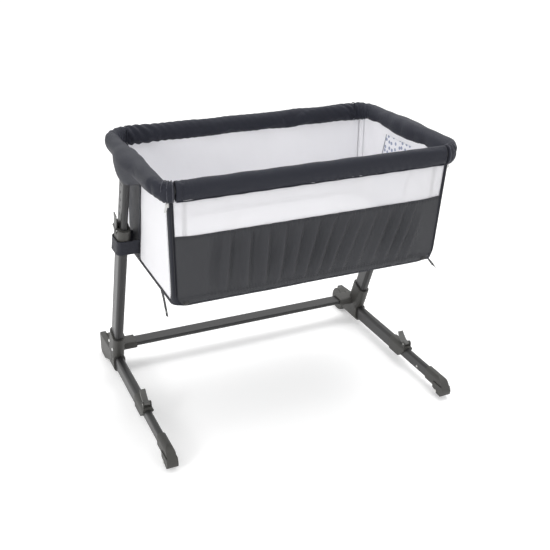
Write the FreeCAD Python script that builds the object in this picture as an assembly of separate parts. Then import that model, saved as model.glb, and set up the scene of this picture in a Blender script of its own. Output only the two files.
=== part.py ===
"""Bedside sleeper crib: a fabric basket on two slanted telescopic posts and a
stand with sliding front feet.  The front side folds down about its bottom edge.

Millimetres.  X runs along the long side, -Y is the side that drops (towards the
bed) and +Z is up.  The origin is on the floor, midway along the stand's feet.
"""
import FreeCAD, Part
import math
import os

V = FreeCAD.Vector

# Basket
RIM_LENGTH = 870.0            # between the rim tube's centre lines, along X
RIM_DEPTH = 504.0             # the same, along Y
RIM_HEIGHT = 819.0            # floor to the rim tube's centre, basket at its top level
RIM_TUBE_D = 25.0
TUBE_WALL = 1.5
REAR_CORNER_R = 45.0          # bend of the rim tube at the back corners
FRONT_CORNER_R = 26.0
FLOOR_HEIGHT = 480.0          # height of the basket's bottom edge
FLOOR_LENGTH = 830.0          # outer size of the basket at its bottom edge
FLOOR_DEPTH = 462.0
BASKET_Y = -58.0              # the basket's middle, forward of the stand's middle
WALL_SPREAD = 10.0            # how far an end wall leans out from its bottom to the rim
WALL_CORNER_R = 9.0           # upright corners of the fabric walls
BAG_CORNER_R = 26.0           # the same corners at the basket's bottom
BAG_RISE = 44.0               # height over which they widen to it
BINDING_WIDTH = 20.0          # dark strip from a corner along the front or back wall
CLOTH = 3.0                   # thickness of a lined fabric wall
BAND_HEIGHT = 204.0           # dark lower band of the front and back walls
BAND_FOLDS = 26               # soft upright folds across the front band
BAND_FOLD_DEPTH = 1.6
BAND_CLOTH = 2.0

# Padded rim cover
COVER_WIDTH = 42.0
COVER_HEIGHT = 58.0
COVER_DROP = 3.0              # the padding hangs this much below the tube's centre
HEAD_COVER_WIDTH = 72.0       # fuller part of the end cover, round the post head
HEAD_COVER_HEIGHT = 80.0
HEAD_COVER_OUT = 14.0
HEAD_COVER_LENGTH = 190.0
HEAD_COVER_SECTIONS = 7
COVER_GAP = 0.6               # between the front rail's cover and the corner covers

# Basket floor
FRAME_TUBE_D = 16.0
FRAME_INSET = 8.0             # fabric to frame tube
FRAME_UP = 4.0                # basket's bottom edge to the frame tube
BOARD_THICKNESS = 6.0
BOARD_FOLDS = 3
BOARD_GROOVE = 2.5
BOARD_MARGIN = 20.0           # wall to board edge
MATTRESS_THICKNESS = 48.0
MATTRESS_MARGIN = 13.0
MATTRESS_CORNER_R = 50.0
MATTRESS_EDGE = 9.0           # rounding of the mattress's long edges
BOTTOM_SAG = 24.0
BOTTOM_SPAN = 120.0           # width of the rounded border of the sagging cloth
BOTTOM_CORNER_R = 40.0
BOTTOM_CLOTH = 2.5
CLOTH_GAP = 0.2               # frame tube to the bottom cloth
CLOTH_EDGE_X = 3.0            # basket's edge to the bottom cloth's
CLOTH_EDGE_Y = 15.0
FRAME_BEND_R = 30.0

# Posts
POST_LEAN = 20.75             # degrees from upright, top towards the front
POST_X = 463.0
LOWER_POST = (28.0, 58.0, 11.0)   # across X, front to back, corner radius
UPPER_POST = (20.0, 48.0, 8.0)
POST_WALL = 1.6
UPPER_POST_LENGTH = 455.0
UPPER_POST_TOP = 12.0         # below the rim's centre, along the post
LEVEL_PITCH = 27.0
LEVEL_MARKS = 11
LEVEL_SLOT = (10.0, 4.5)      # length and width of one notch
LEVEL_SLOT_TILT = 28.0
FIRST_MARK = 72.0             # rim centre to the first notch, along the post
COLLAR_TOP = 226.0            # rim centre to the collar's top, along the post
COLLAR_LENGTH = 54.0
COLLAR_WALL = 5.0
COLLAR_LIP = 24.0             # guiding part above the lower post
SLIDE_GAP = 0.3               # clearance of a sliding tube
HEAD_LENGTH = 78.0            # post head, along the end rail
HEAD_WALL = 6.0
HEAD_SOCKET = 50.0            # rim centre to the post head's lower edge

# Height lever on the collar
LEVER_WIDTH = 22.0
LEVER_THICKNESS = 3.5
LEVER_HUB_R = 4.3
LEVER_UP = 52.0               # pivot to the lever's tip
LEVER_PIVOT_UP = 4.0          # below the collar's top
LEVER_STANDOFF = 2.5          # collar face to the pivot
LEVER_FLARE = 2.0
LEVER_WINDOW = 19.0           # pin to the lower edge of the nose's window
PIN_D = 5.0
PIN_GAP = 0.08                # running clearance round a pin

# Stand
BASE_DEPTH = 746.0            # heel to toe
HEEL_R = 42.0
HEEL_WIDTH = 42.0
HEEL_DISC_WIDTH = 21.0        # inner part of the heel, round in side view
SHOULDER_REAR_TOP = 76.0      # squared outer part of the heel: height at the back
SHOULDER_FRONT_TOP = 87.0     # and against the post socket
SHOULDER_CHAMFER = 13.0
FOOT_TUBE = (28.0, 50.0, 10.0)
FOOT_HEIGHT = 45.0            # floor to the foot tube's centre
INNER_TUBE = (20.0, 40.0, 8.0)
SOCKET_WALL = 6.0
HOUSING_MOUTH = 190.0         # front end of the housing
FOOT_TUBE_REAR = 300.0
SOCKET_TOP = 158.0            # height of the post socket's mouth on the post's axis
CROSS_BAR = (52.0, 16.0, 7.5)
CROSS_BAR_Y = 248.0
CROSS_BAR_Z = 85.0
SLEEVE_END = 392.0            # inner end of the cross bar's sleeve
BAR_INSERT = 40.0
PAD_LENGTH = 30.0
PAD_THICKNESS = 3.0
SCREW_D = 5.0
SCREW_HEAD_D = 10.0
SCREW_HEAD_T = 2.5
SCREW_OFFSET = 20.0
SCREW_UP = 52.0               # below the socket's mouth, along the post

# Sliding front feet
CLAMP_REAR = -48.0
CLAMP_LENGTH = 92.0
CLAMP_WALL = 3.5
CLAMP_SLANT = 45.0            # how much further back the mouth ends below
OUTER_TUBE_FRONT = -88.0
INNER_TUBE_REAR = 70.0
RIVET_D = 8.0
RIVET_PROUD = 0.15
RIVET_Y = -214.0
CAP_LENGTH = 103.0
CAP_SOCKET = 48.0
CAP_WALL = 4.0
CAP_BEND = 48.0               # toe to where the cap's top starts to fall
CHEEK_WIDTH = 34.0
CHEEK_TOP = 44.0
CHEEK_CLEAR = 9.5             # floor to the cheek's lower edge
ROLLER_R = 17.0
ROLLER_WIDTH = 16.0
ROLLER_CHAMFER = 1.5
ROLLER_GAP = 1.0
ROLLER_BACK = 36.0            # toe to the roller's axis
AXLE_D = 6.0
AXLE_HEAD_D = 11.0
AXLE_HEAD_T = 2.0
FOOT_LEVER = (18.0, 44.0, 6.0)    # width, length, thickness
FOOT_LEVER_RISE = 26.0        # how far the free end stands off the clamp
FOOT_LEVER_PIVOT = 12.0       # clamp's front to the lever's pin
FOOT_PIVOT_UP = 7.0

# Drop side
STAY_WIDTH = 12.0
STAY_THICKNESS = 3.0
STAY_X = 380.0
STAY_BEHIND = 1.9             # band's middle plane to the stay's face
EYE_R = 6.5
EYE_WIDTH = 9.0
HINGE_PIN_D = 6.0
HINGE_UP = 6.0                # basket's bottom edge to the hinge axis
EAR_THICKNESS = 3.0
EAR_GAP = 0.4
SIDE_GAP = 1.5                # drop side's walls to the corner bindings

# Post loops, straps and zip sliders
LOOP_LOW = 514.0
LOOP_HIGH = 564.0
LOOP_CLOTH = 2.0
LOOP_GAP = 1.5
STRAP_WIDTH = 22.0
STRAP_T = 1.6
LEFT_STRAP = (V(-417.2, -188.0, 484.0), V(-412.0, -214.0, 412.0))
RIGHT_STRAP = (V(402.4, -273.0, 481.0), V(441.0, -268.0, 437.0))
SNAP_D = 12.0
SNAP_T = 2.2
SNAP_UP = 16.0
STRIP_T = 1.2
LINING_STRIP = ((-69.0, -157.0), (88.0, 24.0))    # front and rear edge, bottom and top
OUTER_STRIP = ((21.0, -70.0), (116.0, 78.0))
ZIP_BODY = (7.0, 5.0, 12.0)
ZIP_TAB = (5.5, 1.4, 20.0)
ZIP_TAB_OUT = 8.0             # how far the tab's tip stands off
ZIP_TOP = 785.0
ZIP_GAP = 0.3
ZIP_ANGLE = 30.0              # round the corner from the end wall

# Values that follow from the sizes above
LEAN = math.radians(POST_LEAN)
HALF_X = RIM_LENGTH / 2
HALF_Y = RIM_DEPTH / 2
TOE_Y = -BASE_DEPTH / 2
HEEL_Y = BASE_DEPTH / 2 - HEEL_R
FRONT_Y = BASKET_Y - HALF_Y
REAR_Y = BASKET_Y + HALF_Y
WALL_TOP = RIM_HEIGHT - COVER_DROP - COVER_HEIGHT / 2 + 10.0
BAND_TOP = FLOOR_HEIGHT + BAND_HEIGHT
SEAM_FRONT = HALF_X - FRONT_CORNER_R
SEAM_REAR = HALF_X - REAR_CORNER_R
WALL_RISE = RIM_HEIGHT - FLOOR_HEIGHT
SIDE_LEAN = math.degrees(math.atan2(HALF_Y - FLOOR_DEPTH / 2, WALL_RISE))
HINGE = V(0, BASKET_Y - FLOOR_DEPTH / 2 - HINGE_UP * math.tan(math.radians(SIDE_LEAN)),
          FLOOR_HEIGHT + HINGE_UP)
FRAME_Z = FLOOR_HEIGHT + FRAME_UP + FRAME_TUBE_D / 2
FRAME_TOP = FRAME_Z + FRAME_TUBE_D / 2
BOARD_TOP = FRAME_TOP + BOARD_THICKNESS + 1.0
WALL_LOW = FLOOR_HEIGHT + 2.0
BAG_LEVELS = [FLOOR_HEIGHT + share * BAG_RISE for share in (0.3, 0.6, 1.0)]
ROLLER_AXIS = V(POST_X, TOE_Y + ROLLER_BACK, ROLLER_R)

parts = {}


# ---------------------------------------------------------------- helpers
def round_rect(width, depth, radius, z=0.0):
    """Closed outline in the XY plane, centred, with round corners."""
    a = width / 2 - radius
    b = depth / 2 - radius
    edges = []
    ends = []
    for quarter, (cx, cy) in enumerate(((a, b), (-a, b), (-a, -b), (a, -b))):
        turn = [math.radians(90.0 * quarter + step) for step in (0.0, 45.0, 90.0)]
        arc = [V(cx + radius * math.cos(t), cy + radius * math.sin(t), z) for t in turn]
        edges.append(Part.Arc(*arc).toShape())
        ends.append((arc[0], arc[2]))
    for here, after in zip(ends, ends[1:] + ends[:1]):
        if (here[1] - after[0]).Length > 1e-6:
            edges.append(Part.makeLine(here[1], after[0]))
    return Part.Wire(Part.__sortEdges__(edges))


def polygon(points):
    return Part.Face(Part.makePolygon(list(points) + [points[0]]))


def prism(wire, height):
    return Part.Face(wire).extrude(V(0, 0, height))


def bar(section, length, extra=0.0):
    """Solid bar of a rounded section, from z=0 up, grown by extra all round."""
    width, depth, radius = section
    return prism(round_rect(width + 2 * extra, depth + 2 * extra, radius + extra), length)


def pipe(section, length, wall):
    inner = bar(section, length + 2.0, -wall)
    inner.translate(V(0, 0, -1.0))
    return bar(section, length).cut(inner)


def turned(shape, axis, angle, origin):
    """Turn about an axis through the frame's origin, then move to origin."""
    shape = shape.copy()
    shape.rotate(V(0, 0, 0), axis, angle)
    shape.translate(origin)
    return shape


def forwards(shape, x, y, z):
    """Local Z points to the front (-Y), local Y points up."""
    return turned(shape, V(1, 0, 0), 90.0, V(x, y, z))


def sideways(shape, x, y, z):
    """Local Z points along +X, local X points down."""
    return turned(shape, V(0, 1, 0), 90.0, V(x, y, z))


def on_post(shape, below=0.0):
    """Local Z follows the right post upwards; z=0 is below the rim's centre."""
    foot = V(POST_X, BASKET_Y, RIM_HEIGHT) - post_up() * below
    return turned(shape, V(1, 0, 0), POST_LEAN, foot)


def post_up():
    return V(0, -math.sin(LEAN), math.cos(LEAN))


def below_rim(height):
    """Distance along the post from the rim's centre down to a height."""
    return (RIM_HEIGHT - height) / math.cos(LEAN)


def cylinder(radius, length, centre, axis):
    """Cylinder centred on a point."""
    start = centre - axis * (length / 2)
    return Part.makeCylinder(radius, length, start, axis)


def box(x0, x1, y0, y1, z0, z1):
    return Part.makeBox(x1 - x0, y1 - y0, z1 - z0, V(x0, y0, z0))


def soften(shape, radius, test):
    """Fillet the edges whose middle passes the test."""
    edges = [e for e in shape.Edges if test(e.CenterOfMass)]
    return shape.makeFillet(radius, edges)


def mirrored(shape):
    return shape.mirror(V(0, 0, 0), V(1, 0, 0))


def both_sides(name, shape):
    parts["right_" + name] = shape
    parts["left_" + name] = mirrored(shape)


def group(*shapes):
    solids = []
    for shape in shapes:
        solids.extend(shape.Solids)
    return Part.makeCompound(solids)


def wall_x(z):
    """Half length of the basket's outer wall at a height."""
    return FLOOR_LENGTH / 2 + (z - FLOOR_HEIGHT) / WALL_RISE * WALL_SPREAD


def wall_y(z):
    return FLOOR_DEPTH / 2 + (z - FLOOR_HEIGHT) / WALL_RISE * (HALF_Y - FLOOR_DEPTH / 2)


def corner_r(z):
    """Plan radius of the basket's upright corners: wider towards the bottom."""
    share = max(0.0, 1.0 - (z - FLOOR_HEIGHT) / BAG_RISE)
    return WALL_CORNER_R + (BAG_CORNER_R - WALL_CORNER_R) * share ** 2


def binding_reach(z):
    """From the end wall's plane to the binding's edge on a long wall."""
    return max(BINDING_WIDTH, corner_r(z) + 1.0)


def levels(low, high):
    """Heights at which the walls' edges are set, from low to high."""
    return [low] + [z for z in BAG_LEVELS if low < z < high] + [high]


# ---------------------------------------------------------------- stand
def base_housing():
    """Moulding that joins heel, foot tube, post and cross bar."""
    inner_x = POST_X - HEEL_WIDTH / 2 - 1.0
    heel = Part.makeCylinder(HEEL_R, HEEL_DISC_WIDTH + 3.0, V(inner_x, HEEL_Y, HEEL_R), V(1, 0, 0))
    heel = heel.makeChamfer(2.5, [e for e in heel.Edges if e.CenterOfMass.x < inner_x + 0.1])
    sleeve = bar(FOOT_TUBE, HEEL_Y - HOUSING_MOUTH, SOCKET_WALL)
    body = heel.fuse(forwards(sleeve, POST_X, HEEL_Y, FOOT_HEIGHT)).fuse(heel_shoulder())
    socket_foot = below_rim(FOOT_HEIGHT)
    socket = bar(LOWER_POST, socket_foot - below_rim(SOCKET_TOP), SOCKET_WALL)
    body = body.fuse(on_post(socket, socket_foot))
    reach = POST_X - SLEEVE_END
    bar_sleeve = bar((CROSS_BAR[1], CROSS_BAR[0], CROSS_BAR[2]), reach, SOCKET_WALL)
    body = body.fuse(sideways(bar_sleeve, SLEEVE_END, CROSS_BAR_Y, CROSS_BAR_Z))
    body = body.cut(foot_tube_solid()).cut(lower_post_solid()).cut(cross_bar_solid())
    body = body.cut(box(0, 2 * POST_X, 0, 2 * HEEL_Y, -HEEL_R, PAD_THICKNESS))
    for screw in housing_screws():
        body = body.cut(screw)
    return body.removeSplitter()


def heel_shoulder():
    """Squared outer half of the heel, with a nearly flat top up to the post."""
    rear = HEEL_Y + HEEL_R
    outer = POST_X + HEEL_WIDTH / 2
    front = HOUSING_MOUTH + 24.0
    side = polygon([
        V(outer, rear - SHOULDER_CHAMFER, PAD_THICKNESS), V(outer, rear, SHOULDER_CHAMFER + 3.0),
        V(outer, rear - 1.5, SHOULDER_REAR_TOP), V(outer, front, SHOULDER_FRONT_TOP),
        V(outer, front, FOOT_HEIGHT), V(outer, HEEL_Y - HEEL_R / 2, PAD_THICKNESS),
    ])
    shoulder = side.extrude(V(HEEL_DISC_WIDTH - HEEL_WIDTH, 0, 0))
    return soften(shoulder, 4.0, lambda c: c.x > outer - 0.1 and c.z > FOOT_HEIGHT / 3)


def foot_tube_solid():
    return forwards(bar(FOOT_TUBE, FOOT_TUBE_REAR - OUTER_TUBE_FRONT),
                    POST_X, FOOT_TUBE_REAR, FOOT_HEIGHT)


def foot_tube():
    return forwards(pipe(FOOT_TUBE, FOOT_TUBE_REAR - OUTER_TUBE_FRONT, TUBE_WALL),
                    POST_X, FOOT_TUBE_REAR, FOOT_HEIGHT)


def lower_post_foot():
    """The post's lower end stands just above the foot tube."""
    clear = FOOT_HEIGHT + FOOT_TUBE[1] / 2 + LOWER_POST[1] / 2 * math.sin(LEAN)
    return below_rim(clear + 0.5)


def lower_post_solid():
    length = lower_post_foot() - COLLAR_TOP - COLLAR_LIP
    return on_post(bar(LOWER_POST, length), lower_post_foot())


def lower_post():
    length = lower_post_foot() - COLLAR_TOP - COLLAR_LIP
    post = on_post(pipe(LOWER_POST, length, POST_WALL), lower_post_foot())
    for screw in housing_screws():
        post = post.cut(screw)
    return post


def cross_bar_solid():
    reach = SLEEVE_END + BAR_INSERT
    section = (CROSS_BAR[1], CROSS_BAR[0], CROSS_BAR[2])
    return sideways(bar(section, 2 * reach), -reach, CROSS_BAR_Y, CROSS_BAR_Z)


def cross_bar():
    reach = SLEEVE_END + BAR_INSERT
    section = (CROSS_BAR[1], CROSS_BAR[0], CROSS_BAR[2])
    return sideways(pipe(section, 2 * reach, TUBE_WALL), -reach, CROSS_BAR_Y, CROSS_BAR_Z)


def housing_screws():
    """Two screws through the socket's outer wall into the post."""
    down = below_rim(SOCKET_TOP) + SCREW_UP
    face = LOWER_POST[0] / 2 + SOCKET_WALL
    screws = []
    for across in (-SCREW_OFFSET, SCREW_OFFSET):
        shank = Part.makeCylinder(SCREW_D / 2, SOCKET_WALL + POST_WALL,
                                  V(face, across, 0), V(-1, 0, 0))
        head = Part.makeCylinder(SCREW_HEAD_D / 2, SCREW_HEAD_T, V(face, across, 0), V(1, 0, 0))
        head = head.makeChamfer(1.0, [e for e in head.Edges if e.CenterOfMass.x > face + 1.0])
        screws.append(on_post(shank.fuse(head), down))
    return screws


def rear_foot_pad():
    pad = prism(round_rect(HEEL_WIDTH - 14.0, PAD_LENGTH, 5.0), PAD_THICKNESS)
    pad.translate(V(POST_X, HEEL_Y, 0))
    return pad


# ---------------------------------------------------------------- collar and height lever
def lever_pivot():
    """Local place of the height lever's pin: X out from the post, Z along it."""
    out = LOWER_POST[0] / 2 + COLLAR_WALL + LEVER_STANDOFF
    return V(out, 0, -COLLAR_TOP - LEVER_PIVOT_UP)


def post_collar():
    """Collar clamped on the lower post; its upper part guides the upper post."""
    outer = bar(LOWER_POST, COLLAR_LENGTH, COLLAR_WALL)
    outer = soften(outer, 3.0, lambda c: c.z > COLLAR_LENGTH - 0.1)
    outer.translate(V(0, 0, -COLLAR_TOP - COLLAR_LENGTH))
    pivot = lever_pivot()
    ear_width = LEVER_WIDTH / 2 + 0.5
    for side in (-1, 1):
        y = side * (ear_width + 2.0)
        ear = box(LOWER_POST[0] / 2, pivot.x, y - 2.0, y + 2.0,
                  pivot.z - LEVER_HUB_R, pivot.z + LEVER_PIVOT_UP)
        knuckle = cylinder(LEVER_HUB_R, 4.0, V(pivot.x, y, pivot.z), V(0, 1, 0))
        outer = outer.fuse(ear).fuse(knuckle)
    window = box(UPPER_POST[0] / 2, LOWER_POST[0], -ear_width, ear_width,
                 pivot.z - LEVER_WINDOW, pivot.z + 2 * LEVER_PIVOT_UP)
    outer = outer.cut(window)
    bore = bar(UPPER_POST, COLLAR_LENGTH + 2.0, SLIDE_GAP)
    bore.translate(V(0, 0, -COLLAR_TOP - COLLAR_LENGTH - 1.0))
    outer = outer.cut(bore)
    pin = cylinder(PIN_D / 2, 2 * ear_width + 8.0, pivot, V(0, 1, 0))
    collar = on_post(outer.cut(pin))
    return collar.cut(lower_post_solid())


def height_lever_pin():
    width = LEVER_WIDTH + 1.0 + 8.0
    return on_post(cylinder(PIN_D / 2, width, lever_pivot(), V(0, 1, 0)))


def height_lever():
    """Paddle above the pin, and a nose below it that reaches to the post."""
    pivot = lever_pivot()
    half = LEVER_THICKNESS / 2
    top = pivot.z + LEVER_UP
    nose_tip = UPPER_POST[0] / 2 + SLIDE_GAP
    profile = polygon([
        V(pivot.x - half, 0, pivot.z),
        V(pivot.x - half, 0, pivot.z + LEVER_UP * 0.45),
        V(pivot.x - half + LEVER_FLARE, 0, top),
        V(pivot.x + half + LEVER_FLARE, 0, top),
        V(pivot.x + half, 0, pivot.z + LEVER_UP * 0.40),
        V(pivot.x + half, 0, pivot.z - 13.0),
        V(nose_tip, 0, pivot.z - 13.0),
        V(nose_tip, 0, pivot.z - 8.0),
        V(pivot.x - half, 0, pivot.z - LEVER_HUB_R - 2.0),
    ])
    paddle = profile.extrude(V(0, LEVER_WIDTH, 0))
    paddle.translate(V(0, -LEVER_WIDTH / 2, 0))
    hub = cylinder(LEVER_HUB_R, LEVER_WIDTH, pivot, V(0, 1, 0))
    nose_room = box(0, pivot.x - LEVER_HUB_R - 0.1, -LEVER_WIDTH, -LEVER_WIDTH / 2 + 2.0,
                    pivot.z - LEVER_WINDOW, pivot.z)
    lever = paddle.fuse(hub).cut(nose_room)
    lever = lever.cut(nose_room.mirror(V(0, 0, 0), V(0, 1, 0)))
    lever = lever.cut(cylinder(PIN_D / 2 + PIN_GAP, 2 * LEVER_WIDTH, pivot, V(0, 1, 0)))
    lever = soften(lever, 1.5, lambda c: c.z > top - 0.1 and abs(c.y) < 1.0)
    return on_post(lever)


# ---------------------------------------------------------------- sliding feet
def foot_pivot():
    """Place of the foot lever's pin, over the clamp's front end."""
    front = CLAMP_REAR - CLAMP_LENGTH
    top = FOOT_HEIGHT + FOOT_TUBE[1] / 2 + CLAMP_WALL
    return V(POST_X, front + FOOT_LEVER_PIVOT, top + FOOT_PIVOT_UP)


def foot_clamp():
    """Collar on the outer tube's front end; its lip guides the inner tube."""
    sleeve = forwards(bar(FOOT_TUBE, CLAMP_LENGTH, CLAMP_WALL), POST_X, CLAMP_REAR, FOOT_HEIGHT)
    front = CLAMP_REAR - CLAMP_LENGTH
    sleeve = sleeve.cut(clamp_slant(front))
    pivot = foot_pivot()
    ear_gap = FOOT_LEVER[0] / 2 + 0.5
    for side in (-1, 1):
        x = pivot.x + side * (ear_gap + 2.0)
        ear = box(x - 2.0, x + 2.0, pivot.y - 8.0, pivot.y + 8.0, FOOT_HEIGHT + 20.0, pivot.z)
        sleeve = sleeve.fuse(ear).fuse(cylinder(8.0, 4.0, V(x, pivot.y, pivot.z), V(1, 0, 0)))
    bore = forwards(bar(INNER_TUBE, CLAMP_LENGTH + 10.0, SLIDE_GAP),
                    POST_X, CLAMP_REAR + 5.0, FOOT_HEIGHT)
    sleeve = sleeve.cut(bore).cut(foot_tube_solid())
    return sleeve.cut(foot_lever_pin())


def clamp_slant(front):
    """What the oblique mouth leaves out of the clamp's front end."""
    low = FOOT_HEIGHT - FOOT_TUBE[1]
    knee = FOOT_HEIGHT + FOOT_TUBE[1] / 4
    wedge = polygon([
        V(0, front - 1.0, low), V(0, front - 1.0, knee), V(0, front, knee),
        V(0, front + CLAMP_SLANT, FOOT_HEIGHT - FOOT_TUBE[1] / 2 - CLAMP_WALL),
        V(0, front + CLAMP_SLANT, low),
    ])
    return wedge.extrude(V(2 * POST_X, 0, 0))


def foot_lever_pin():
    return cylinder(PIN_D / 2, FOOT_LEVER[0] + 1.0 + 8.0, foot_pivot(), V(1, 0, 0))


def foot_lever():
    """Cam lever: hub on the pin, handle running back with a raised tip."""
    width, length, thick = FOOT_LEVER
    pivot = foot_pivot()
    rise = FOOT_LEVER_RISE
    outline = [
        V(0, 0.0, -thick / 2), V(0, length * 0.45, -thick / 2 + 1.0),
        V(0, length * 0.85, rise * 0.45), V(0, length, rise),
        V(0, length - 3.0, rise + 2.0), V(0, length * 0.72, rise * 0.55 + thick * 0.7),
        V(0, length * 0.35, thick * 0.9), V(0, 0.0, thick * 0.9),
    ]
    handle = polygon(outline).extrude(V(width, 0, 0))
    handle.translate(pivot - V(width / 2, 0, 0))
    hub = cylinder(thick * 0.9, width, pivot, V(1, 0, 0))
    lever = handle.fuse(hub).removeSplitter()
    return lever.cut(cylinder(PIN_D / 2 + PIN_GAP, 2 * width, pivot, V(1, 0, 0)))


def inner_tube_solid():
    length = INNER_TUBE_REAR - TOE_Y - CAP_LENGTH + CAP_SOCKET
    return forwards(bar(INNER_TUBE, length), POST_X, INNER_TUBE_REAR, FOOT_HEIGHT)


def foot_inner_tube():
    length = INNER_TUBE_REAR - TOE_Y - CAP_LENGTH + CAP_SOCKET
    tube = forwards(pipe(INNER_TUBE, length, TUBE_WALL), POST_X, INNER_TUBE_REAR, FOOT_HEIGHT)
    return tube.cut(stop_rivet())


def stop_rivet():
    """Flush rivet in the inner face of the sliding tube."""
    face = POST_X - INNER_TUBE[0] / 2
    return cylinder(RIVET_D / 2, TUBE_WALL + RIVET_PROUD,
                    V(face + (TUBE_WALL - RIVET_PROUD) / 2, RIVET_Y, FOOT_HEIGHT - 6.0),
                    V(1, 0, 0))


def foot_cap():
    """Moulded toe: socket for the inner tube, turned down to two cheeks."""
    mouth = TOE_Y + CAP_LENGTH
    low = FOOT_HEIGHT - INNER_TUBE[1] / 2 - CAP_WALL
    heel = ROLLER_AXIS.y + ROLLER_R + 1.0
    side = cap_side(mouth, low).extrude(V(2 * POST_X, 0, 0))
    body = side.common(forwards(bar(INNER_TUBE, CAP_LENGTH, CAP_WALL), POST_X, mouth, FOOT_HEIGHT))
    cheek = cap_side(heel, low + 2.0).extrude(V(CHEEK_WIDTH, 0, 0))
    cheek.translate(V(POST_X - CHEEK_WIDTH / 2, 0, 0))
    cheek = cheek.common(box(0, 2 * POST_X, TOE_Y - 1.0, heel, 0, CHEEK_TOP))
    body = body.fuse(cheek)
    room = ROLLER_WIDTH / 2 + ROLLER_GAP
    slot = box(POST_X - room, POST_X + room, TOE_Y + CAP_WALL, ROLLER_AXIS.y, -1.0, ROLLER_R + 3.0)
    wheel_room = cylinder(ROLLER_R + 3.0, 2 * room, ROLLER_AXIS, V(1, 0, 0))
    wheel_room = wheel_room.common(box(0, 2 * POST_X, TOE_Y + CAP_WALL, 0, -1.0, HEEL_R))
    body = body.cut(wheel_room).cut(slot).cut(inner_tube_solid())
    return body.cut(roller_axle()).removeSplitter()


def cap_side(rear, rear_low):
    """Side view of the cap: flat top, a long fall to a blunt nose, flat sole."""
    fall = V(0, TOE_Y + CAP_BEND, FOOT_HEIGHT + INNER_TUBE[1] / 2 + CAP_WALL)
    slope = V(0, TOE_Y + CAP_BEND * 0.42, FOOT_HEIGHT + INNER_TUBE[1] * 0.40)
    brow = V(0, TOE_Y + 4.5, FOOT_HEIGHT - 4.0)
    nose = V(0, TOE_Y, FOOT_HEIGHT * 0.6)
    chin = V(0, TOE_Y + 3.0, CHEEK_CLEAR + 5.0)
    edges = [
        Part.Arc(fall, slope, brow).toShape(), Part.Arc(brow, nose, chin).toShape(),
    ]
    sole = V(0, TOE_Y + 10.0, CHEEK_CLEAR)
    corners = [chin, sole, V(0, rear, rear_low), V(0, rear, fall.z), fall]
    for here, after in zip(corners, corners[1:]):
        edges.append(Part.makeLine(here, after))
    return Part.Face(Part.Wire(edges))


def roller_axle():
    """Rivet through both cheeks, with a head on each side."""
    axle = cylinder(AXLE_D / 2, CHEEK_WIDTH, ROLLER_AXIS, V(1, 0, 0))
    for side in (-1, 1):
        at = ROLLER_AXIS + V(side * (CHEEK_WIDTH + AXLE_HEAD_T) / 2, 0, 0)
        axle = axle.fuse(cylinder(AXLE_HEAD_D / 2, AXLE_HEAD_T, at, V(1, 0, 0)))
    return axle.removeSplitter()


def front_roller():
    roller = cylinder(ROLLER_R, ROLLER_WIDTH, ROLLER_AXIS, V(1, 0, 0))
    rims = [e for e in roller.Edges if abs(e.CenterOfMass.x - POST_X) > ROLLER_WIDTH / 2 - 0.1]
    roller = roller.makeChamfer(ROLLER_CHAMFER, rims)
    return roller.cut(cylinder(AXLE_D / 2 + PIN_GAP, 2 * ROLLER_WIDTH, ROLLER_AXIS, V(1, 0, 0)))


# ---------------------------------------------------------------- upper post and rim
def upper_post():
    """Inner tube with a row of slanted notches on its outer face."""
    post = pipe(UPPER_POST, UPPER_POST_LENGTH, POST_WALL)
    post.translate(V(0, 0, -UPPER_POST_TOP - UPPER_POST_LENGTH))
    length, width = LEVEL_SLOT
    for mark in range(LEVEL_MARKS):
        slot = Part.makeBox(POST_WALL + 2.0, length, width, V(0, -length / 2, -width / 2))
        slot.rotate(V(0, 0, 0), V(1, 0, 0), LEVEL_SLOT_TILT)
        slot.translate(V(UPPER_POST[0] / 2 - POST_WALL, 0, -FIRST_MARK - mark * LEVEL_PITCH))
        post = post.cut(slot)
    return on_post(post)


def upper_post_solid():
    post = bar(UPPER_POST, UPPER_POST_LENGTH)
    post.translate(V(0, 0, -UPPER_POST_TOP - UPPER_POST_LENGTH))
    return on_post(post)


def post_head_solid():
    """Bracket between the post's top and the end rail, uncut."""
    sleeve = cylinder(RIM_TUBE_D / 2 + HEAD_WALL, HEAD_LENGTH,
                      V(HALF_X, BASKET_Y, RIM_HEIGHT), V(0, 1, 0))
    socket = bar(UPPER_POST, HEAD_SOCKET - 4.0, HEAD_WALL - 1.5)
    socket.translate(V(0, 0, -HEAD_SOCKET))
    reach = POST_X - HALF_X
    web = prism(round_rect(reach, UPPER_POST[1] * 0.9, 4.0), HEAD_SOCKET - 16.0)
    web.translate(V(-reach / 2, 0, -HEAD_SOCKET + 6.0))
    return sleeve.fuse(on_post(socket)).fuse(on_post(web)).removeSplitter()


def post_head():
    tube = cylinder(RIM_TUBE_D / 2, 2 * HEAD_LENGTH, V(HALF_X, BASKET_Y, RIM_HEIGHT), V(0, 1, 0))
    return post_head_solid().cut(tube).cut(upper_post_solid())


def bend(section, centre, angle):
    """Sweep a section round an upright axis through the centre."""
    return section.revolve(centre, V(0, 0, 1), angle)


def disc(radius, centre, normal):
    return Part.Face(Part.Wire(Part.makeCircle(radius, centre, normal)))


def rim_sweep(radius):
    """Fixed rim tube: right end, back and left end, with two bends."""
    z = RIM_HEIGHT
    y_front = FRONT_Y + FRONT_CORNER_R
    y_bend = REAR_Y - REAR_CORNER_R
    end = disc(radius, V(HALF_X, y_front, z), V(0, 1, 0)).extrude(V(0, y_bend - y_front, 0))
    turn = bend(disc(radius, V(HALF_X, y_bend, z), V(0, 1, 0)), V(SEAM_REAR, y_bend, z), 90.0)
    back = cylinder(radius, 2 * SEAM_REAR, V(0, REAR_Y, z), V(1, 0, 0))
    half = end.fuse(turn)
    return back.fuse(half).fuse(mirrored(half)).removeSplitter()


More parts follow.
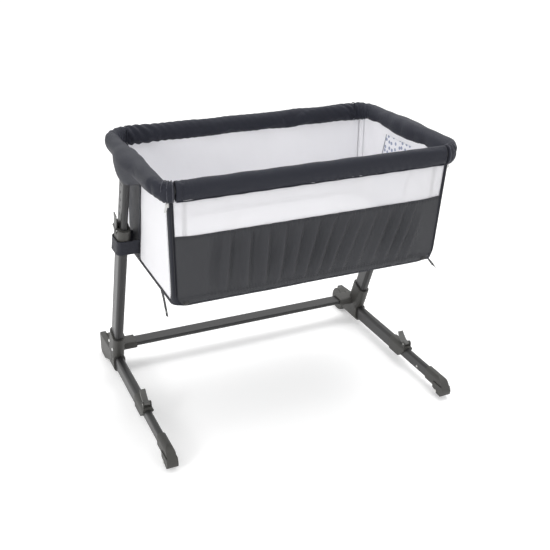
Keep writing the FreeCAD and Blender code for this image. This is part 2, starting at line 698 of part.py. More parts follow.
def rim_frame():
    return rim_sweep(RIM_TUBE_D / 2).cut(rim_sweep(RIM_TUBE_D / 2 - TUBE_WALL))


def corner_socket():
    """Elbow that closes the end rail and faces the front rail's end."""
    start = V(HALF_X, FRONT_Y + FRONT_CORNER_R, RIM_HEIGHT)
    elbow = bend(disc(RIM_TUBE_D / 2, start, V(0, 1, 0)), start - V(FRONT_CORNER_R, 0, 0), -90.0)
    plug = Part.makeCylinder(RIM_TUBE_D / 2 - TUBE_WALL, 30.0, start, V(0, 1, 0))
    return elbow.fuse(plug).removeSplitter()


def cover_ring(centre, width, height, normal):
    """Section of a padded cover: flat-sided oval across a rail along the normal."""
    ring = round_rect(height, width, width / 2 - 0.5)
    ring.rotate(V(0, 0, 0), V(0, 1, 0), 90.0)
    if abs(normal.y) > 0.5:
        ring.rotate(V(0, 0, 0), V(0, 0, 1), 90.0)
    ring.translate(centre)
    return ring


def cover_z():
    return RIM_HEIGHT - COVER_DROP


def end_padding():
    """Full padding of the right end rail, from the back corner to the front one."""
    z = cover_z()
    y_front = FRONT_Y + FRONT_CORNER_R
    y_rear = REAR_Y - REAR_CORNER_R
    front = Part.Face(cover_ring(V(HALF_X, y_front, z), COVER_WIDTH, COVER_HEIGHT, V(0, 1, 0)))
    rear = Part.Face(cover_ring(V(HALF_X, y_rear, z), COVER_WIDTH, COVER_HEIGHT, V(0, 1, 0)))
    padding = front.extrude(V(0, y_rear - y_front, 0))
    padding = padding.fuse(bend(front, V(SEAM_FRONT, y_front, z), -90.0))
    padding = padding.fuse(bend(rear, V(SEAM_REAR, y_rear, z), 90.0))
    return padding.fuse(head_cover()).removeSplitter()


def end_rim_cover():
    padding = RIGHT_PADDING.cut(rim_sweep(RIM_TUBE_D / 2)).cut(corner_socket())
    return padding.cut(post_head_solid()).cut(upper_post_solid())


def head_cover():
    """Fuller middle of the end cover, round the post head."""
    rings = []
    drop = (HEAD_COVER_HEIGHT - COVER_HEIGHT) / 2
    for section in range(HEAD_COVER_SECTIONS):
        along = 2.0 * section / (HEAD_COVER_SECTIONS - 1) - 1.0
        share = (0.5 + 0.5 * math.cos(math.pi * along)) ** 0.8
        width = COVER_WIDTH - 2.0 + share * (HEAD_COVER_WIDTH - COVER_WIDTH + 2.0)
        height = COVER_HEIGHT - 2.0 + share * (HEAD_COVER_HEIGHT - COVER_HEIGHT + 2.0)
        centre = V(HALF_X + share * HEAD_COVER_OUT, BASKET_Y + along * HEAD_COVER_LENGTH / 2,
                   cover_z() - share * drop)
        rings.append(cover_ring(centre, width, height, V(0, 1, 0)))
    return Part.makeLoft(rings, True, True)


def straight_cover(half, y):
    """Padding round a rail along X, with the rail's bore."""
    bore = cylinder(RIM_TUBE_D / 2, 2 * half + 2.0, V(0, y, RIM_HEIGHT), V(1, 0, 0))
    return straight_padding(half, y).cut(bore)


def straight_padding(half, y):
    ring = cover_ring(V(-half, y, cover_z()), COVER_WIDTH, COVER_HEIGHT, V(1, 0, 0))
    return Part.Face(ring).extrude(V(2 * half, 0, 0))


RIGHT_PADDING = end_padding()


# ---------------------------------------------------------------- fabric walls
def end_wall(outline, thick, out):
    """Flat sloping panel in the right end's plane, its outer face out from it.

    The outline lists (y, z) corners of the panel.
    """
    face = polygon([V(wall_x(z), y, z) for y, z in outline])
    normal = V(WALL_RISE, 0, -WALL_SPREAD).normalize()
    panel = face.extrude(normal * -thick)
    panel.translate(normal * out)
    return panel


def end_panel():
    outline = []
    heights = levels(WALL_LOW, WALL_TOP)
    for z in heights:
        outline.append((BASKET_Y - wall_y(z) + corner_r(z), z))
    for z in reversed(heights):
        outline.append((BASKET_Y + wall_y(z) - corner_r(z), z))
    return trim_to_cover(end_wall(outline, CLOTH, 0.0))


def strip_outline(front, rear, low):
    """Corners of a strip whose edges run from low (bottom, top) to the rim."""
    return [(front[0], low), (rear[0], low), (rear[1], WALL_TOP), (front[1], WALL_TOP)]


def trim_to_cover(panel):
    """Leave the padded rim's space to the rim."""
    return panel.cut(RIGHT_PADDING).cut(post_head_solid())


def end_strip():
    """Dark outer strip behind the post."""
    return trim_to_cover(end_wall(strip_outline(*OUTER_STRIP, WALL_LOW), STRIP_T, STRIP_T))


def lining_strip():
    """Printed strip sewn inside the end wall."""
    return trim_to_cover(end_wall(strip_outline(*LINING_STRIP, BOARD_TOP), STRIP_T, -CLOTH))


def corner_binding(front):
    """Strip that turns an upright corner and ends on the long wall."""
    rings = []
    side = -1 if front else 1
    for z in levels(WALL_LOW, WALL_TOP):
        r = corner_r(z)
        centre = V(wall_x(z) - r, BASKET_Y + side * (wall_y(z) - r), z)
        edge = V(wall_x(z) - binding_reach(z), BASKET_Y + side * wall_y(z), z)
        arcs = []
        for radius in (r, r - CLOTH):
            arcs.append([centre + V(radius * math.cos(t), side * radius * math.sin(t), 0)
                         for t in (0.0, math.pi / 4, math.pi / 2)])
        outer, inner = arcs
        edge_in = edge - V(0, side * CLOTH, 0)
        rings.append(Part.Wire([
            Part.Arc(*outer).toShape(), Part.makeLine(outer[2], edge),
            Part.makeLine(edge, edge_in), Part.makeLine(edge_in, inner[2]),
            Part.Arc(*reversed(inner)).toShape(), Part.makeLine(inner[0], outer[0]),
        ]))
    binding = Part.makeLoft(rings, True, True).cut(RIGHT_PADDING)
    if front:
        under_rail = cover_z() - COVER_HEIGHT / 2 - COVER_GAP
        rail_room = box(0, SEAM_FRONT + COVER_GAP, 2 * FRONT_Y, 0, under_rail, RIM_HEIGHT)
        binding = binding.cut(rail_room)
    return binding


def long_wall(side, gap, z_low, z_high, thick, out):
    """Flat sloping panel in the front (-1) or back (+1) wall's plane.

    Its ends stay a gap away from the corner bindings.
    """
    heights = levels(z_low, z_high)
    corners = [(wall_x(z) - binding_reach(z) - gap, z) for z in heights]
    corners += [(-x, z) for x, z in reversed(corners)]
    face = polygon([V(x, BASKET_Y + side * wall_y(z), z) for x, z in corners])
    normal = V(0, side * WALL_RISE, FLOOR_DEPTH / 2 - HALF_Y).normalize()
    panel = face.extrude(normal * -thick)
    panel.translate(normal * out)
    return panel


def back_panel():
    panel = long_wall(1, 0.0, WALL_LOW, WALL_TOP, CLOTH, 0.0)
    panel = panel.cut(straight_padding(SEAM_REAR, REAR_Y))
    return panel.cut(RIGHT_PADDING).cut(mirrored(RIGHT_PADDING))


def back_band():
    return long_wall(1, 0.0, WALL_LOW, BAND_TOP, BAND_CLOTH, BAND_CLOTH)


def front_mesh():
    """Window of the drop side, from the band up to the rail's padding."""
    panel = long_wall(-1, SIDE_GAP, BAND_TOP, WALL_TOP, CLOTH, CLOTH / 2)
    return panel.cut(straight_padding(HALF_X, FRONT_Y))


def front_band():
    """Dark band of the drop side: a gathered cloth with shallow upright folds."""
    half = wall_x(BAND_TOP) - BINDING_WIDTH
    pitch = 2 * half / BAND_FOLDS
    edges = []
    for fold in range(BAND_FOLDS):
        x = -half + fold * pitch
        start = V(x, 0, 0)
        crest = V(x + pitch / 2, -BAND_FOLD_DEPTH, 0)
        edges.append(Part.Arc(start, crest, V(x + pitch, 0, 0)).toShape())
    edges.append(Part.makeLine(V(half, 0, 0), V(half, BAND_CLOTH, 0)))
    edges.append(Part.makeLine(V(half, BAND_CLOTH, 0), V(-half, BAND_CLOTH, 0)))
    edges.append(Part.makeLine(V(-half, BAND_CLOTH, 0), V(-half, 0, 0)))
    start = EYE_R + 2.0
    length = (BAND_TOP - HINGE.z) / math.cos(math.radians(SIDE_LEAN)) - start
    band = Part.Face(Part.Wire(edges)).extrude(V(0, 0, length))
    band.translate(V(0, -BAND_CLOTH / 2, start))
    band = turned(band, V(1, 0, 0), SIDE_LEAN, HINGE)
    return band.common(long_wall(-1, SIDE_GAP, HINGE.z, WALL_TOP, RIM_TUBE_D, RIM_TUBE_D / 2))


def stay():
    """Flat steel strip from the front rail down to an eye on the hinge pin."""
    lean = math.radians(SIDE_LEAN)
    top = (RIM_HEIGHT - HINGE.z) / math.cos(lean) - RIM_TUBE_D / 2 + 1.5
    strip = box(-STAY_WIDTH / 2, STAY_WIDTH / 2, STAY_BEHIND, STAY_BEHIND + STAY_THICKNESS,
                0.0, top)
    foot = polygon([
        V(0, 0, 0), V(0, STAY_BEHIND + STAY_THICKNESS, EYE_R * 0.5),
        V(0, STAY_BEHIND + STAY_THICKNESS, EYE_R * 2.2), V(0, STAY_BEHIND, EYE_R * 2.2),
    ]).extrude(V(EYE_WIDTH, 0, 0))
    foot.translate(V(-EYE_WIDTH / 2, 0, 0))
    eye = cylinder(EYE_R, EYE_WIDTH, V(0, 0, 0), V(1, 0, 0))
    strip = strip.cut(box(-STAY_WIDTH, STAY_WIDTH, 0, 2 * EYE_R, -1.0, EYE_R * 1.9))
    arm = strip.fuse(foot).fuse(eye)
    arm = arm.cut(cylinder(HINGE_PIN_D / 2 + PIN_GAP, 2 * EYE_WIDTH, V(0, 0, 0), V(1, 0, 0)))
    arm = turned(arm.removeSplitter(), V(1, 0, 0), SIDE_LEAN, HINGE + V(STAY_X, 0, 0))
    return arm.cut(front_rail_solid())


def front_rail_solid():
    half = SEAM_FRONT - COVER_GAP
    return cylinder(RIM_TUBE_D / 2, 2 * half, V(0, FRONT_Y, RIM_HEIGHT), V(1, 0, 0))


def front_rail():
    half = SEAM_FRONT - COVER_GAP
    bore = cylinder(RIM_TUBE_D / 2 - TUBE_WALL, 2 * half - 6.0,
                    V(0, FRONT_Y, RIM_HEIGHT), V(1, 0, 0))
    return front_rail_solid().cut(bore)


def front_rail_cover():
    cover = straight_cover(SEAM_FRONT - COVER_GAP, FRONT_Y)
    return cover.cut(stay()).cut(mirrored(stay()))


# ---------------------------------------------------------------- floor of the basket
def frame_sweep(radius):
    """Closed ring of tube in the floor's plane, with four bends."""
    inset = FRAME_INSET + FRAME_TUBE_D / 2
    x = FLOOR_LENGTH / 2 - inset
    y = FLOOR_DEPTH / 2 - inset
    r = FRAME_BEND_R
    long_side = cylinder(radius, 2 * (x - r), V(0, y, 0), V(1, 0, 0))
    short_side = cylinder(radius, 2 * (y - r), V(x, 0, 0), V(0, 1, 0))
    turn = bend(disc(radius, V(x, y - r, 0), V(0, 1, 0)), V(x - r, y - r, 0), 90.0)
    half = long_side.fuse(turn).fuse(turn.mirror(V(0, 0, 0), V(1, 0, 0))).fuse(short_side)
    other = half.copy()
    other.rotate(V(0, 0, 0), V(0, 0, 1), 180.0)
    ring = half.fuse(other)
    ring.translate(V(0, BASKET_Y, FRAME_Z))
    return ring.removeSplitter()


def floor_frame():
    """Bent tube under the board; its front run carries the drop side's ears."""
    frame = frame_sweep(FRAME_TUBE_D / 2)
    for side in (-1, 1):
        for hand in (-1, 1):
            frame = frame.fuse(hinge_ear(side * STAY_X, hand))
    frame = frame.cut(frame_sweep(FRAME_TUBE_D / 2 - TUBE_WALL))
    return frame.cut(hinge_pin(1)).cut(hinge_pin(-1))


def hinge_ear(x, hand):
    """Plate from the front tube out to the hinge pin."""
    at = x + hand * (EYE_WIDTH / 2 + EAR_GAP + EAR_THICKNESS / 2)
    tube_y = BASKET_Y - FLOOR_DEPTH / 2 + FRAME_INSET + FRAME_TUBE_D / 2
    plate = polygon([
        V(0, tube_y - 5.0, FRAME_Z + 5.0), V(0, HINGE.y, HINGE.z + 5.0),
        V(0, HINGE.y, HINGE.z - 5.0), V(0, tube_y - 2.0, FRAME_Z - 7.4),
    ]).extrude(V(EAR_THICKNESS, 0, 0))
    plate.translate(V(at - EAR_THICKNESS / 2, 0, 0))
    return plate.fuse(cylinder(5.0, EAR_THICKNESS, V(at, HINGE.y, HINGE.z), V(1, 0, 0)))


def hinge_pin(side):
    length = EYE_WIDTH + 2 * EAR_GAP + 2 * EAR_THICKNESS
    return cylinder(HINGE_PIN_D / 2, length, HINGE + V(side * STAY_X, 0, 0), V(1, 0, 0))


def base_board():
    """Folding board on the floor frame, with grooves at its folds."""
    length = FLOOR_LENGTH - 2 * BOARD_MARGIN
    depth = FLOOR_DEPTH - 2 * BOARD_MARGIN
    board = prism(round_rect(length, depth, 20.0), BOARD_THICKNESS)
    board.translate(V(0, BASKET_Y, FRAME_TOP))
    for fold in range(1, BOARD_FOLDS + 1):
        x = -length / 2 + fold * length / (BOARD_FOLDS + 1)
        low = FRAME_TOP
        groove = box(x - 1.0, x + 1.0, BASKET_Y - depth, BASKET_Y + depth,
                     low - 1.0, low + BOARD_GROOVE)
        board = board.cut(groove)
    return board


def mattress():
    """Crowned pad with drawn-in sides."""
    low = FRAME_TOP + BOARD_THICKNESS
    z_top = low + MATTRESS_THICKNESS
    length = 2 * (wall_x(low) - CLOTH - MATTRESS_MARGIN)
    depth = 2 * (wall_y(low) - CLOTH - MATTRESS_MARGIN)
    e = MATTRESS_EDGE
    levels = (
        (low, e * 0.8), (low + e * 0.5, 0.0), (low + MATTRESS_THICKNESS * 0.45, 1.5),
        (z_top - e * 1.1, 0.0), (z_top - e * 0.45, e * 0.6), (z_top - e * 0.2, 3.0 * e),
        (z_top, 10.0 * e),
    )
    rings = []
    for z, inset in levels:
        radius = max(MATTRESS_CORNER_R - inset * 0.3, e)
        rings.append(round_rect(length - 2 * inset, depth - 2 * inset, radius, z))
    pad = Part.makeLoft(rings, True, True)
    pad.translate(V(0, BASKET_Y, 0))
    return pad


def bottom_cloth():
    """Dark cloth under the basket: a shallow sagging dish with steep edges."""
    def dish(lift):
        rings = []
        for step in range(4):
            turn = math.radians(30.0 * step)
            z = FRAME_Z - FRAME_TUBE_D / 2 - CLOTH_GAP - BOTTOM_SAG * math.sin(turn) + lift
            inset = BOTTOM_SPAN * (1.0 - math.cos(turn)) ** 1.6 + lift * 0.4
            rings.append(round_rect(FLOOR_LENGTH - 2 * (CLOTH_EDGE_X + inset),
                                    FLOOR_DEPTH - 2 * (CLOTH_EDGE_Y + inset),
                                    BOTTOM_CORNER_R + inset * 0.3, z))
        return Part.makeLoft(rings, True, True)
    cloth = dish(0.0).cut(dish(BOTTOM_CLOTH))
    cloth.translate(V(0, BASKET_Y, 0))
    return cloth


# ---------------------------------------------------------------- loops, straps, zips
def post_loop():
    """Fabric loop that holds the basket's end against the post."""
    inner = loop_sleeve(0.0)
    loop = on_post(loop_sleeve(LOOP_CLOTH).cut(inner))
    far = RIM_LENGTH
    around = [(-far, 0.0), (far, 0.0), (far, far), (-far, far)]
    inside = end_wall(around, far, STRIP_T)
    level = box(0, 2 * POST_X, -RIM_LENGTH, RIM_LENGTH, LOOP_LOW, LOOP_HIGH)
    return loop.cut(inside).common(level)


def loop_sleeve(extra):
    """Rounded sleeve round the collar's outline, grown by extra."""
    half_y = LOWER_POST[1] / 2 + COLLAR_WALL + LOOP_GAP + extra
    out = LOWER_POST[0] / 2 + COLLAR_WALL + LOOP_GAP + extra
    width = out + POST_X - wall_x(FLOOR_HEIGHT)
    length = below_rim(LOOP_LOW - 3 * half_y)
    sleeve = prism(round_rect(2 * width, 2 * half_y, 16.0 + extra), length)
    sleeve.translate(V(out - width, 0, -length))
    return sleeve


def strap(ends):
    """Short webbing tab with its ends given."""
    top, tip = ends
    along = (tip - top).normalize()
    face_way = along.cross(V(0, 1, 0)).normalize()
    across = face_way.cross(along).normalize()
    w = across * (STRAP_WIDTH / 2)
    webbing = polygon([top - w, top + w, tip + w, tip - w]).extrude(face_way * STRAP_T)
    return webbing, tip - along * SNAP_UP, face_way


def strap_snap(ends):
    webbing, centre, face_way = strap(ends)
    way = face_way if (face_way.x > 0) == (centre.x > 0) else face_way * -1.0
    start = centre + face_way * STRAP_T if way == face_way else centre
    return Part.makeCylinder(SNAP_D / 2, SNAP_T, start, way)


def zip_slider():
    """Slider and pull tab at the top of the front right corner's zip."""
    z = ZIP_TOP
    width, depth, height = ZIP_BODY
    r = corner_r(z)
    x = wall_x(z) + ZIP_GAP
    y = BASKET_Y - wall_y(z) + r
    body = box(x, x + depth, y - width / 2, y + width / 2, z - height, z)
    body = body.makeChamfer(1.2, [e for e in body.Edges if e.CenterOfMass.x > x + depth - 0.1])
    tab_w, tab_t, tab_l = ZIP_TAB
    face = x + depth
    tab = polygon([
        V(face - 1.0, y - tab_w / 2, z - 3.0), V(face + tab_t, y - tab_w / 2, z - 3.0),
        V(face + ZIP_TAB_OUT, y - tab_w / 2, z - 3.0 - tab_l),
        V(face + ZIP_TAB_OUT - tab_t, y - tab_w / 2, z - 3.0 - tab_l),
        V(face - 1.0, y - tab_w / 2, z - 3.0 - tab_t * 2),
    ]).extrude(V(0, tab_w, 0))
    slider = body.fuse(tab).removeSplitter()
    slider.rotate(V(wall_x(z) - r, y, z), V(0, 0, 1), -ZIP_ANGLE)
    return slider


# ---------------------------------------------------------------- assembly
both_sides("base_housing", base_housing())
parts["cross_bar"] = cross_bar()
both_sides("lower_post", lower_post())
both_sides("post_collar", post_collar())
both_sides("foot_tube", foot_tube())
both_sides("foot_clamp", foot_clamp())
parts["rear_foot_pads"] = group(rear_foot_pad(), mirrored(rear_foot_pad()))
screws = housing_screws()
parts["housing_screws"] = group(*(screws + [mirrored(s) for s in screws]))
pins = [height_lever_pin(), foot_lever_pin()]
parts["lever_pins"] = group(*(pins + [mirrored(p) for p in pins]))
both_sides("foot_inner_tube", foot_inner_tube())
both_sides("stop_rivet", stop_rivet())
both_sides("foot_cap", foot_cap())
both_sides("roller_axle", roller_axle())
both_sides("front_roller", front_roller())
both_sides("foot_lever", foot_lever())
both_sides("height_lever", height_lever())
both_sides("upper_post", upper_post())
both_sides("post_head", post_head())
parts["rim_frame"] = rim_frame()
parts["corner_sockets"] = group(corner_socket(), mirrored(corner_socket()))
parts["floor_frame"] = floor_frame()
parts["base_board"] = base_board()
both_sides("rim_cover", end_rim_cover())
parts["back_rim_cover"] = straight_cover(SEAM_REAR, REAR_Y)
both_sides("end_panel", end_panel())
parts["end_strips"] = group(end_strip(), mirrored(end_strip()))
parts["lining_strips"] = group(lining_strip(), mirrored(lining_strip()))
parts["back_panel"] = back_panel()
parts["back_band"] = back_band()
bindings = [corner_binding(True), corner_binding(False)]
parts["corner_bindings"] = group(*(bindings + [mirrored(b) for b in bindings]))
parts["bottom_cloth"] = bottom_cloth()
both_sides("post_loop", post_loop())
parts["straps"] = group(strap(LEFT_STRAP)[0], strap(RIGHT_STRAP)[0])
parts["strap_snaps"] = group(strap_snap(LEFT_STRAP), strap_snap(RIGHT_STRAP))
parts["mattress"] = mattress()
parts["hinge_pins"] = group(hinge_pin(1), hinge_pin(-1))
parts["front_rail"] = front_rail()
parts["front_rail_cover"] = front_rail_cover()
parts["front_mesh"] = front_mesh()
parts["front_band"] = front_band()
parts["drop_side_stays"] = group(stay(), mirrored(stay()))
both_sides("zip_slider", zip_slider())

os.makedirs("parts", exist_ok=True)
for name, shape in parts.items():
    shape.exportStep("parts/" + name + ".step")
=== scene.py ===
"""Bedside sleeper crib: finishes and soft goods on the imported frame."""
import math
import bmesh
import bpy
import numpy as np
from mathutils import Matrix, Vector


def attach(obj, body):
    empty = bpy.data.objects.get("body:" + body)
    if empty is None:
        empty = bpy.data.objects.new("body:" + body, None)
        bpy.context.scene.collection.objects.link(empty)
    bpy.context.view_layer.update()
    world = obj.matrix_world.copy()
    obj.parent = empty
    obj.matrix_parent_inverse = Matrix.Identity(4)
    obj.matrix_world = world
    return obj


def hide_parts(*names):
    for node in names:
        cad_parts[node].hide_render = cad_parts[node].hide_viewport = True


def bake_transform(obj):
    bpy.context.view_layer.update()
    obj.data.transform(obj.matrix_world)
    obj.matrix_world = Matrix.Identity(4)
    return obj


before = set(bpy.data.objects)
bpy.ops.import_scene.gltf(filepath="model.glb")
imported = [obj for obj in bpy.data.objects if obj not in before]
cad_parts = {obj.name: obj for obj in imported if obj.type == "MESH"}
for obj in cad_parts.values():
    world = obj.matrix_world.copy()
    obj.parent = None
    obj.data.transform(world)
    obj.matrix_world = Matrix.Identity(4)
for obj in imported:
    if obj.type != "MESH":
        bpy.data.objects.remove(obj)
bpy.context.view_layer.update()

# ---------------------------------------------------------------- camera
# A small studio camera a little above the rim, to the left of the drop side.
# Place and turn were worked out from the stand's and the rim's straight edges.
CAMERA_PLACE = Vector((-1.0205, -2.2415, 1.546))
CAMERA_YAW = math.radians(24.878)      # to the right of +Y
CAMERA_PITCH = math.radians(25.499)    # downwards
CAMERA_ROLL = math.radians(0.861)
CAMERA_LENS = 55.49                    # millimetres, on a 36 mm square frame

ahead = Vector((math.sin(CAMERA_YAW) * math.cos(CAMERA_PITCH),
        math.cos(CAMERA_YAW) * math.cos(CAMERA_PITCH), -math.sin(CAMERA_PITCH)))
level = Vector((math.cos(CAMERA_YAW), -math.sin(CAMERA_YAW), 0.0))
upright = level.cross(ahead)
right = level * math.cos(CAMERA_ROLL) + upright * math.sin(CAMERA_ROLL)
up = upright * math.cos(CAMERA_ROLL) - level * math.sin(CAMERA_ROLL)
camera_data = bpy.data.cameras.new("camera")
camera_data.sensor_width = 36.0
camera_data.lens = CAMERA_LENS
camera = bpy.data.objects.new("camera", camera_data)
turn = Matrix((right, up, -ahead)).transposed()
camera.matrix_world = Matrix.Translation(CAMERA_PLACE) @ turn.to_4x4()
scene = bpy.context.scene
scene.collection.objects.link(camera)
scene.camera = camera

# ---------------------------------------------------------------- studio
# A white sweep of paper under a large soft box overhead, with a weaker fill
# from the front left.  Paper and sky look white to the camera and in glossy
# surfaces, and the paper keeps the crib's soft shadow.
SKY_LIGHT = 0.86
PAPER_COLOUR = (0.90, 0.90, 0.90, 1.0)
PAPER_GLOW = 0.30
SOFT_BOX = ((0.7, 0.3, 3.0), 2.0, 54.0)        # place, size, watts
FILL_BOX = ((-3.2, -1.9, 1.7), 0.9, 34.0)


def add_node(tree, kind, values=None, **settings):
    """A node with its settings; each value is a constant or a socket to join."""
    made = tree.nodes.new(kind)
    for key, value in settings.items():
        setattr(made, key, value)
    for key, value in (values or {}).items():
        if isinstance(value, bpy.types.NodeSocket):
            tree.links.new(value, made.inputs[key])
        else:
            made.inputs[key].default_value = value
    return made


def calc(tree, operation, *values, clamp=False):
    made = add_node(tree, "ShaderNodeMath", dict(enumerate(values)), operation=operation,
            use_clamp=clamp)
    return made.outputs[0]


def seen_ray(tree):
    """1 for rays that see the background straight, in gloss or through glass."""
    path = add_node(tree, "ShaderNodeLightPath").outputs
    shown = calc(tree, "MAXIMUM", path["Is Camera Ray"], path["Is Glossy Ray"])
    return calc(tree, "MAXIMUM", shown, path["Is Transmission Ray"])


scene.view_settings.view_transform = "Standard"
world = bpy.data.worlds.new("studio")
scene.world = world
world.use_nodes = True
sky_tree = world.node_tree
sky_tree.nodes.clear()
shown = calc(sky_tree, "MULTIPLY_ADD", seen_ray(sky_tree), 1.0 - SKY_LIGHT, SKY_LIGHT)
sky = add_node(sky_tree, "ShaderNodeBackground", {"Color": (1.0, 1.0, 1.0, 1.0), "Strength": shown})
add_node(sky_tree, "ShaderNodeOutputWorld", {"Surface": sky.outputs[0]})

paper_mesh = bpy.data.meshes.new("paper")
PAPER_HALF = 20.0
paper_mesh.from_pydata([(x * PAPER_HALF, y * PAPER_HALF, -0.0004)
        for x, y in ((-1, -1), (1, -1), (1, 1), (-1, 1))], [], [(0, 1, 2, 3)])
paper = bpy.data.objects.new("paper", paper_mesh)
scene.collection.objects.link(paper)
paper_material = bpy.data.materials.new("paper")
paper_material.use_nodes = True
paper_tree = paper_material.node_tree
paper_tree.nodes.clear()
lit = add_node(paper_tree, "ShaderNodeBsdfDiffuse", {"Color": PAPER_COLOUR})
glow = add_node(paper_tree, "ShaderNodeEmission",
        {"Strength": calc(paper_tree, "MULTIPLY", seen_ray(paper_tree), PAPER_GLOW)})
both = add_node(paper_tree, "ShaderNodeAddShader", {0: lit.outputs[0], 1: glow.outputs[0]})
add_node(paper_tree, "ShaderNodeOutputMaterial", {"Surface": both.outputs[0]})
paper_mesh.materials.append(paper_material)

for name, (place, size, watts) in (("soft_box", SOFT_BOX), ("fill_box", FILL_BOX)):
    lamp_data = bpy.data.lights.new(name, "AREA")
    lamp_data.size = size
    lamp_data.energy = watts
    lamp = bpy.data.objects.new(name, lamp_data)
    lamp.location = place
    lamp.rotation_euler = (Vector((0.0, 0.0, 0.5)) - Vector(place)).to_track_quat("-Z", "Y").to_euler()
    scene.collection.objects.link(lamp)

# ---------------------------------------------------------------- painted steel tubes
# Rolled steel tube with rounded corners, powder coated in satin dark grey: the
# cross bar, both halves of the posts and feet, and the rails under the padding.
TUBE_GREY = (0.022, 0.0218, 0.0225, 1.0)
TUBE_NODES = ("cross_bar", "left_lower_post", "right_lower_post", "left_foot_tube",
        "right_foot_tube", "left_foot_inner_tube", "right_foot_inner_tube",
        "left_upper_post", "right_upper_post", "rim_frame", "floor_frame",
        "front_rail", "drop_side_stays")


def make_group(name, takes, gives):
    """An empty shader group with named number or vector inputs and outputs."""
    tree = bpy.data.node_groups.new(name, "ShaderNodeTree")
    for label, kind in takes:
        tree.interface.new_socket(label, in_out="INPUT", socket_type="NodeSocket" + kind)
    for label in gives:
        tree.interface.new_socket(label, in_out="OUTPUT", socket_type="NodeSocketFloat")
    return tree, tree.nodes.new("NodeGroupInput").outputs, tree.nodes.new("NodeGroupOutput")


def noise(tree, vector, scale, detail=2.0, roughness=0.5):
    made = add_node(tree, "ShaderNodeTexNoise",
            {"Vector": vector, "Scale": scale, "Detail": detail, "Roughness": roughness})
    return made.outputs["Fac"]


# The grain of a coated or moulded surface: a fine pebbling, and a slow drift
# that stands for handling and dust.
grain, grain_in, grain_out = make_group(
    "surface grain", [("Vector", "Vector"), ("Pebbles", "Float"), ("Drift", "Float")],
    ["Height", "Shade"])
pebbles = noise(grain, grain_in["Vector"], grain_in["Pebbles"], 2.0, 0.6)
drift = noise(grain, grain_in["Vector"], grain_in["Drift"], 4.0, 0.6)
grain.links.new(pebbles, grain_out.inputs["Height"])
grain.links.new(calc(grain, "MULTIPLY_ADD", pebbles, 0.3, calc(grain, "MULTIPLY", drift, 0.7)),
        grain_out.inputs["Shade"])


def surface(name, **sockets):
    """A material with one Principled shader, and its constants on that shader."""
    material = bpy.data.materials.new(name)
    material.use_nodes = True
    tree = material.node_tree
    shader = tree.nodes["Principled BSDF"]
    for key, value in sockets.items():
        shader.inputs[key.replace("_", " ")].default_value = value
    return material, tree, shader


def shade(colour, factor):
    return tuple(min(1.0, c * factor) for c in colour[:3]) + (1.0,)


def tint(tree, shader, mask, colour, low, high):
    """Base colour that runs from low to high times the finish's own colour."""
    mixed = add_node(tree, "ShaderNodeMix", data_type="RGBA")
    mixed.inputs[6].default_value = shade(colour, low)
    mixed.inputs[7].default_value = shade(colour, high)
    tree.links.new(mask, mixed.inputs[0])
    tree.links.new(mixed.outputs[2], shader.inputs["Base Color"])


def bump(tree, shader, height, depth, strength=1.0):
    made = add_node(tree, "ShaderNodeBump",
            {"Height": height, "Distance": depth, "Strength": strength})
    tree.links.new(made.outputs[0], shader.inputs["Normal"])


def grained(name, colour, roughness, pebbles, depth, drift=9.0, spread=0.12, **sockets):
    """Coated metal or moulded plastic, with its grain on object coordinates."""
    material, tree, shader = surface(name, **sockets)
    place = add_node(tree, "ShaderNodeTexCoord").outputs["Object"]
    made = add_node(tree, "ShaderNodeGroup", node_tree=grain)
    tree.links.new(place, made.inputs["Vector"])
    made.inputs["Pebbles"].default_value = pebbles
    made.inputs["Drift"].default_value = drift
    tint(tree, shader, made.outputs["Shade"], colour, 1.0 - spread, 1.0 + spread)
    rough = calc(tree, "MULTIPLY_ADD", made.outputs["Shade"], 0.16, roughness - 0.08, clamp=True)
    tree.links.new(rough, shader.inputs["Roughness"])
    bump(tree, shader, made.outputs["Height"], depth)
    return material


def give(material, *names):
    """The finish of CAD nodes whose shape is right as it is."""
    for name in names:
        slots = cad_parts[name].data.materials
        slots.clear()
        slots.append(material)


give(grained("satin paint", TUBE_GREY, 0.40, 900.0, 0.00006, Coat_Weight=0.12,
        Coat_Roughness=0.25, Specular_IOR_Level=0.45), *TUBE_NODES)

# ---------------------------------------------------------------- mouldings
# Glass-filled nylon: base housings, collars, clamps, toe caps, post heads and
# rim elbows, with the fine matt spark grain of the mould.
MOULDING_GREY = (0.046, 0.045, 0.041, 1.0)
# The levers' lighter grey is painted highlight: it stands for the light caught along their edges.
LEVER_HIGHLIGHT_GREY = (0.11, 0.11, 0.105, 1.0)
give(grained("moulded nylon", MOULDING_GREY, 0.52, 1500.0, 0.00012, drift=14.0, spread=0.10),
     "left_base_housing", "right_base_housing", "left_post_collar", "right_post_collar",
     "left_foot_clamp", "right_foot_clamp", "left_foot_cap", "right_foot_cap",
     "left_post_head", "right_post_head", "corner_sockets")
# Levers: the same nylon as the mouldings, lightened all over as a painted highlight.
give(grained("lever nylon with painted highlight", LEVER_HIGHLIGHT_GREY, 0.45, 1500.0, 0.00010, drift=20.0, spread=0.08),
     "left_foot_lever", "right_foot_lever", "left_height_lever", "right_height_lever")

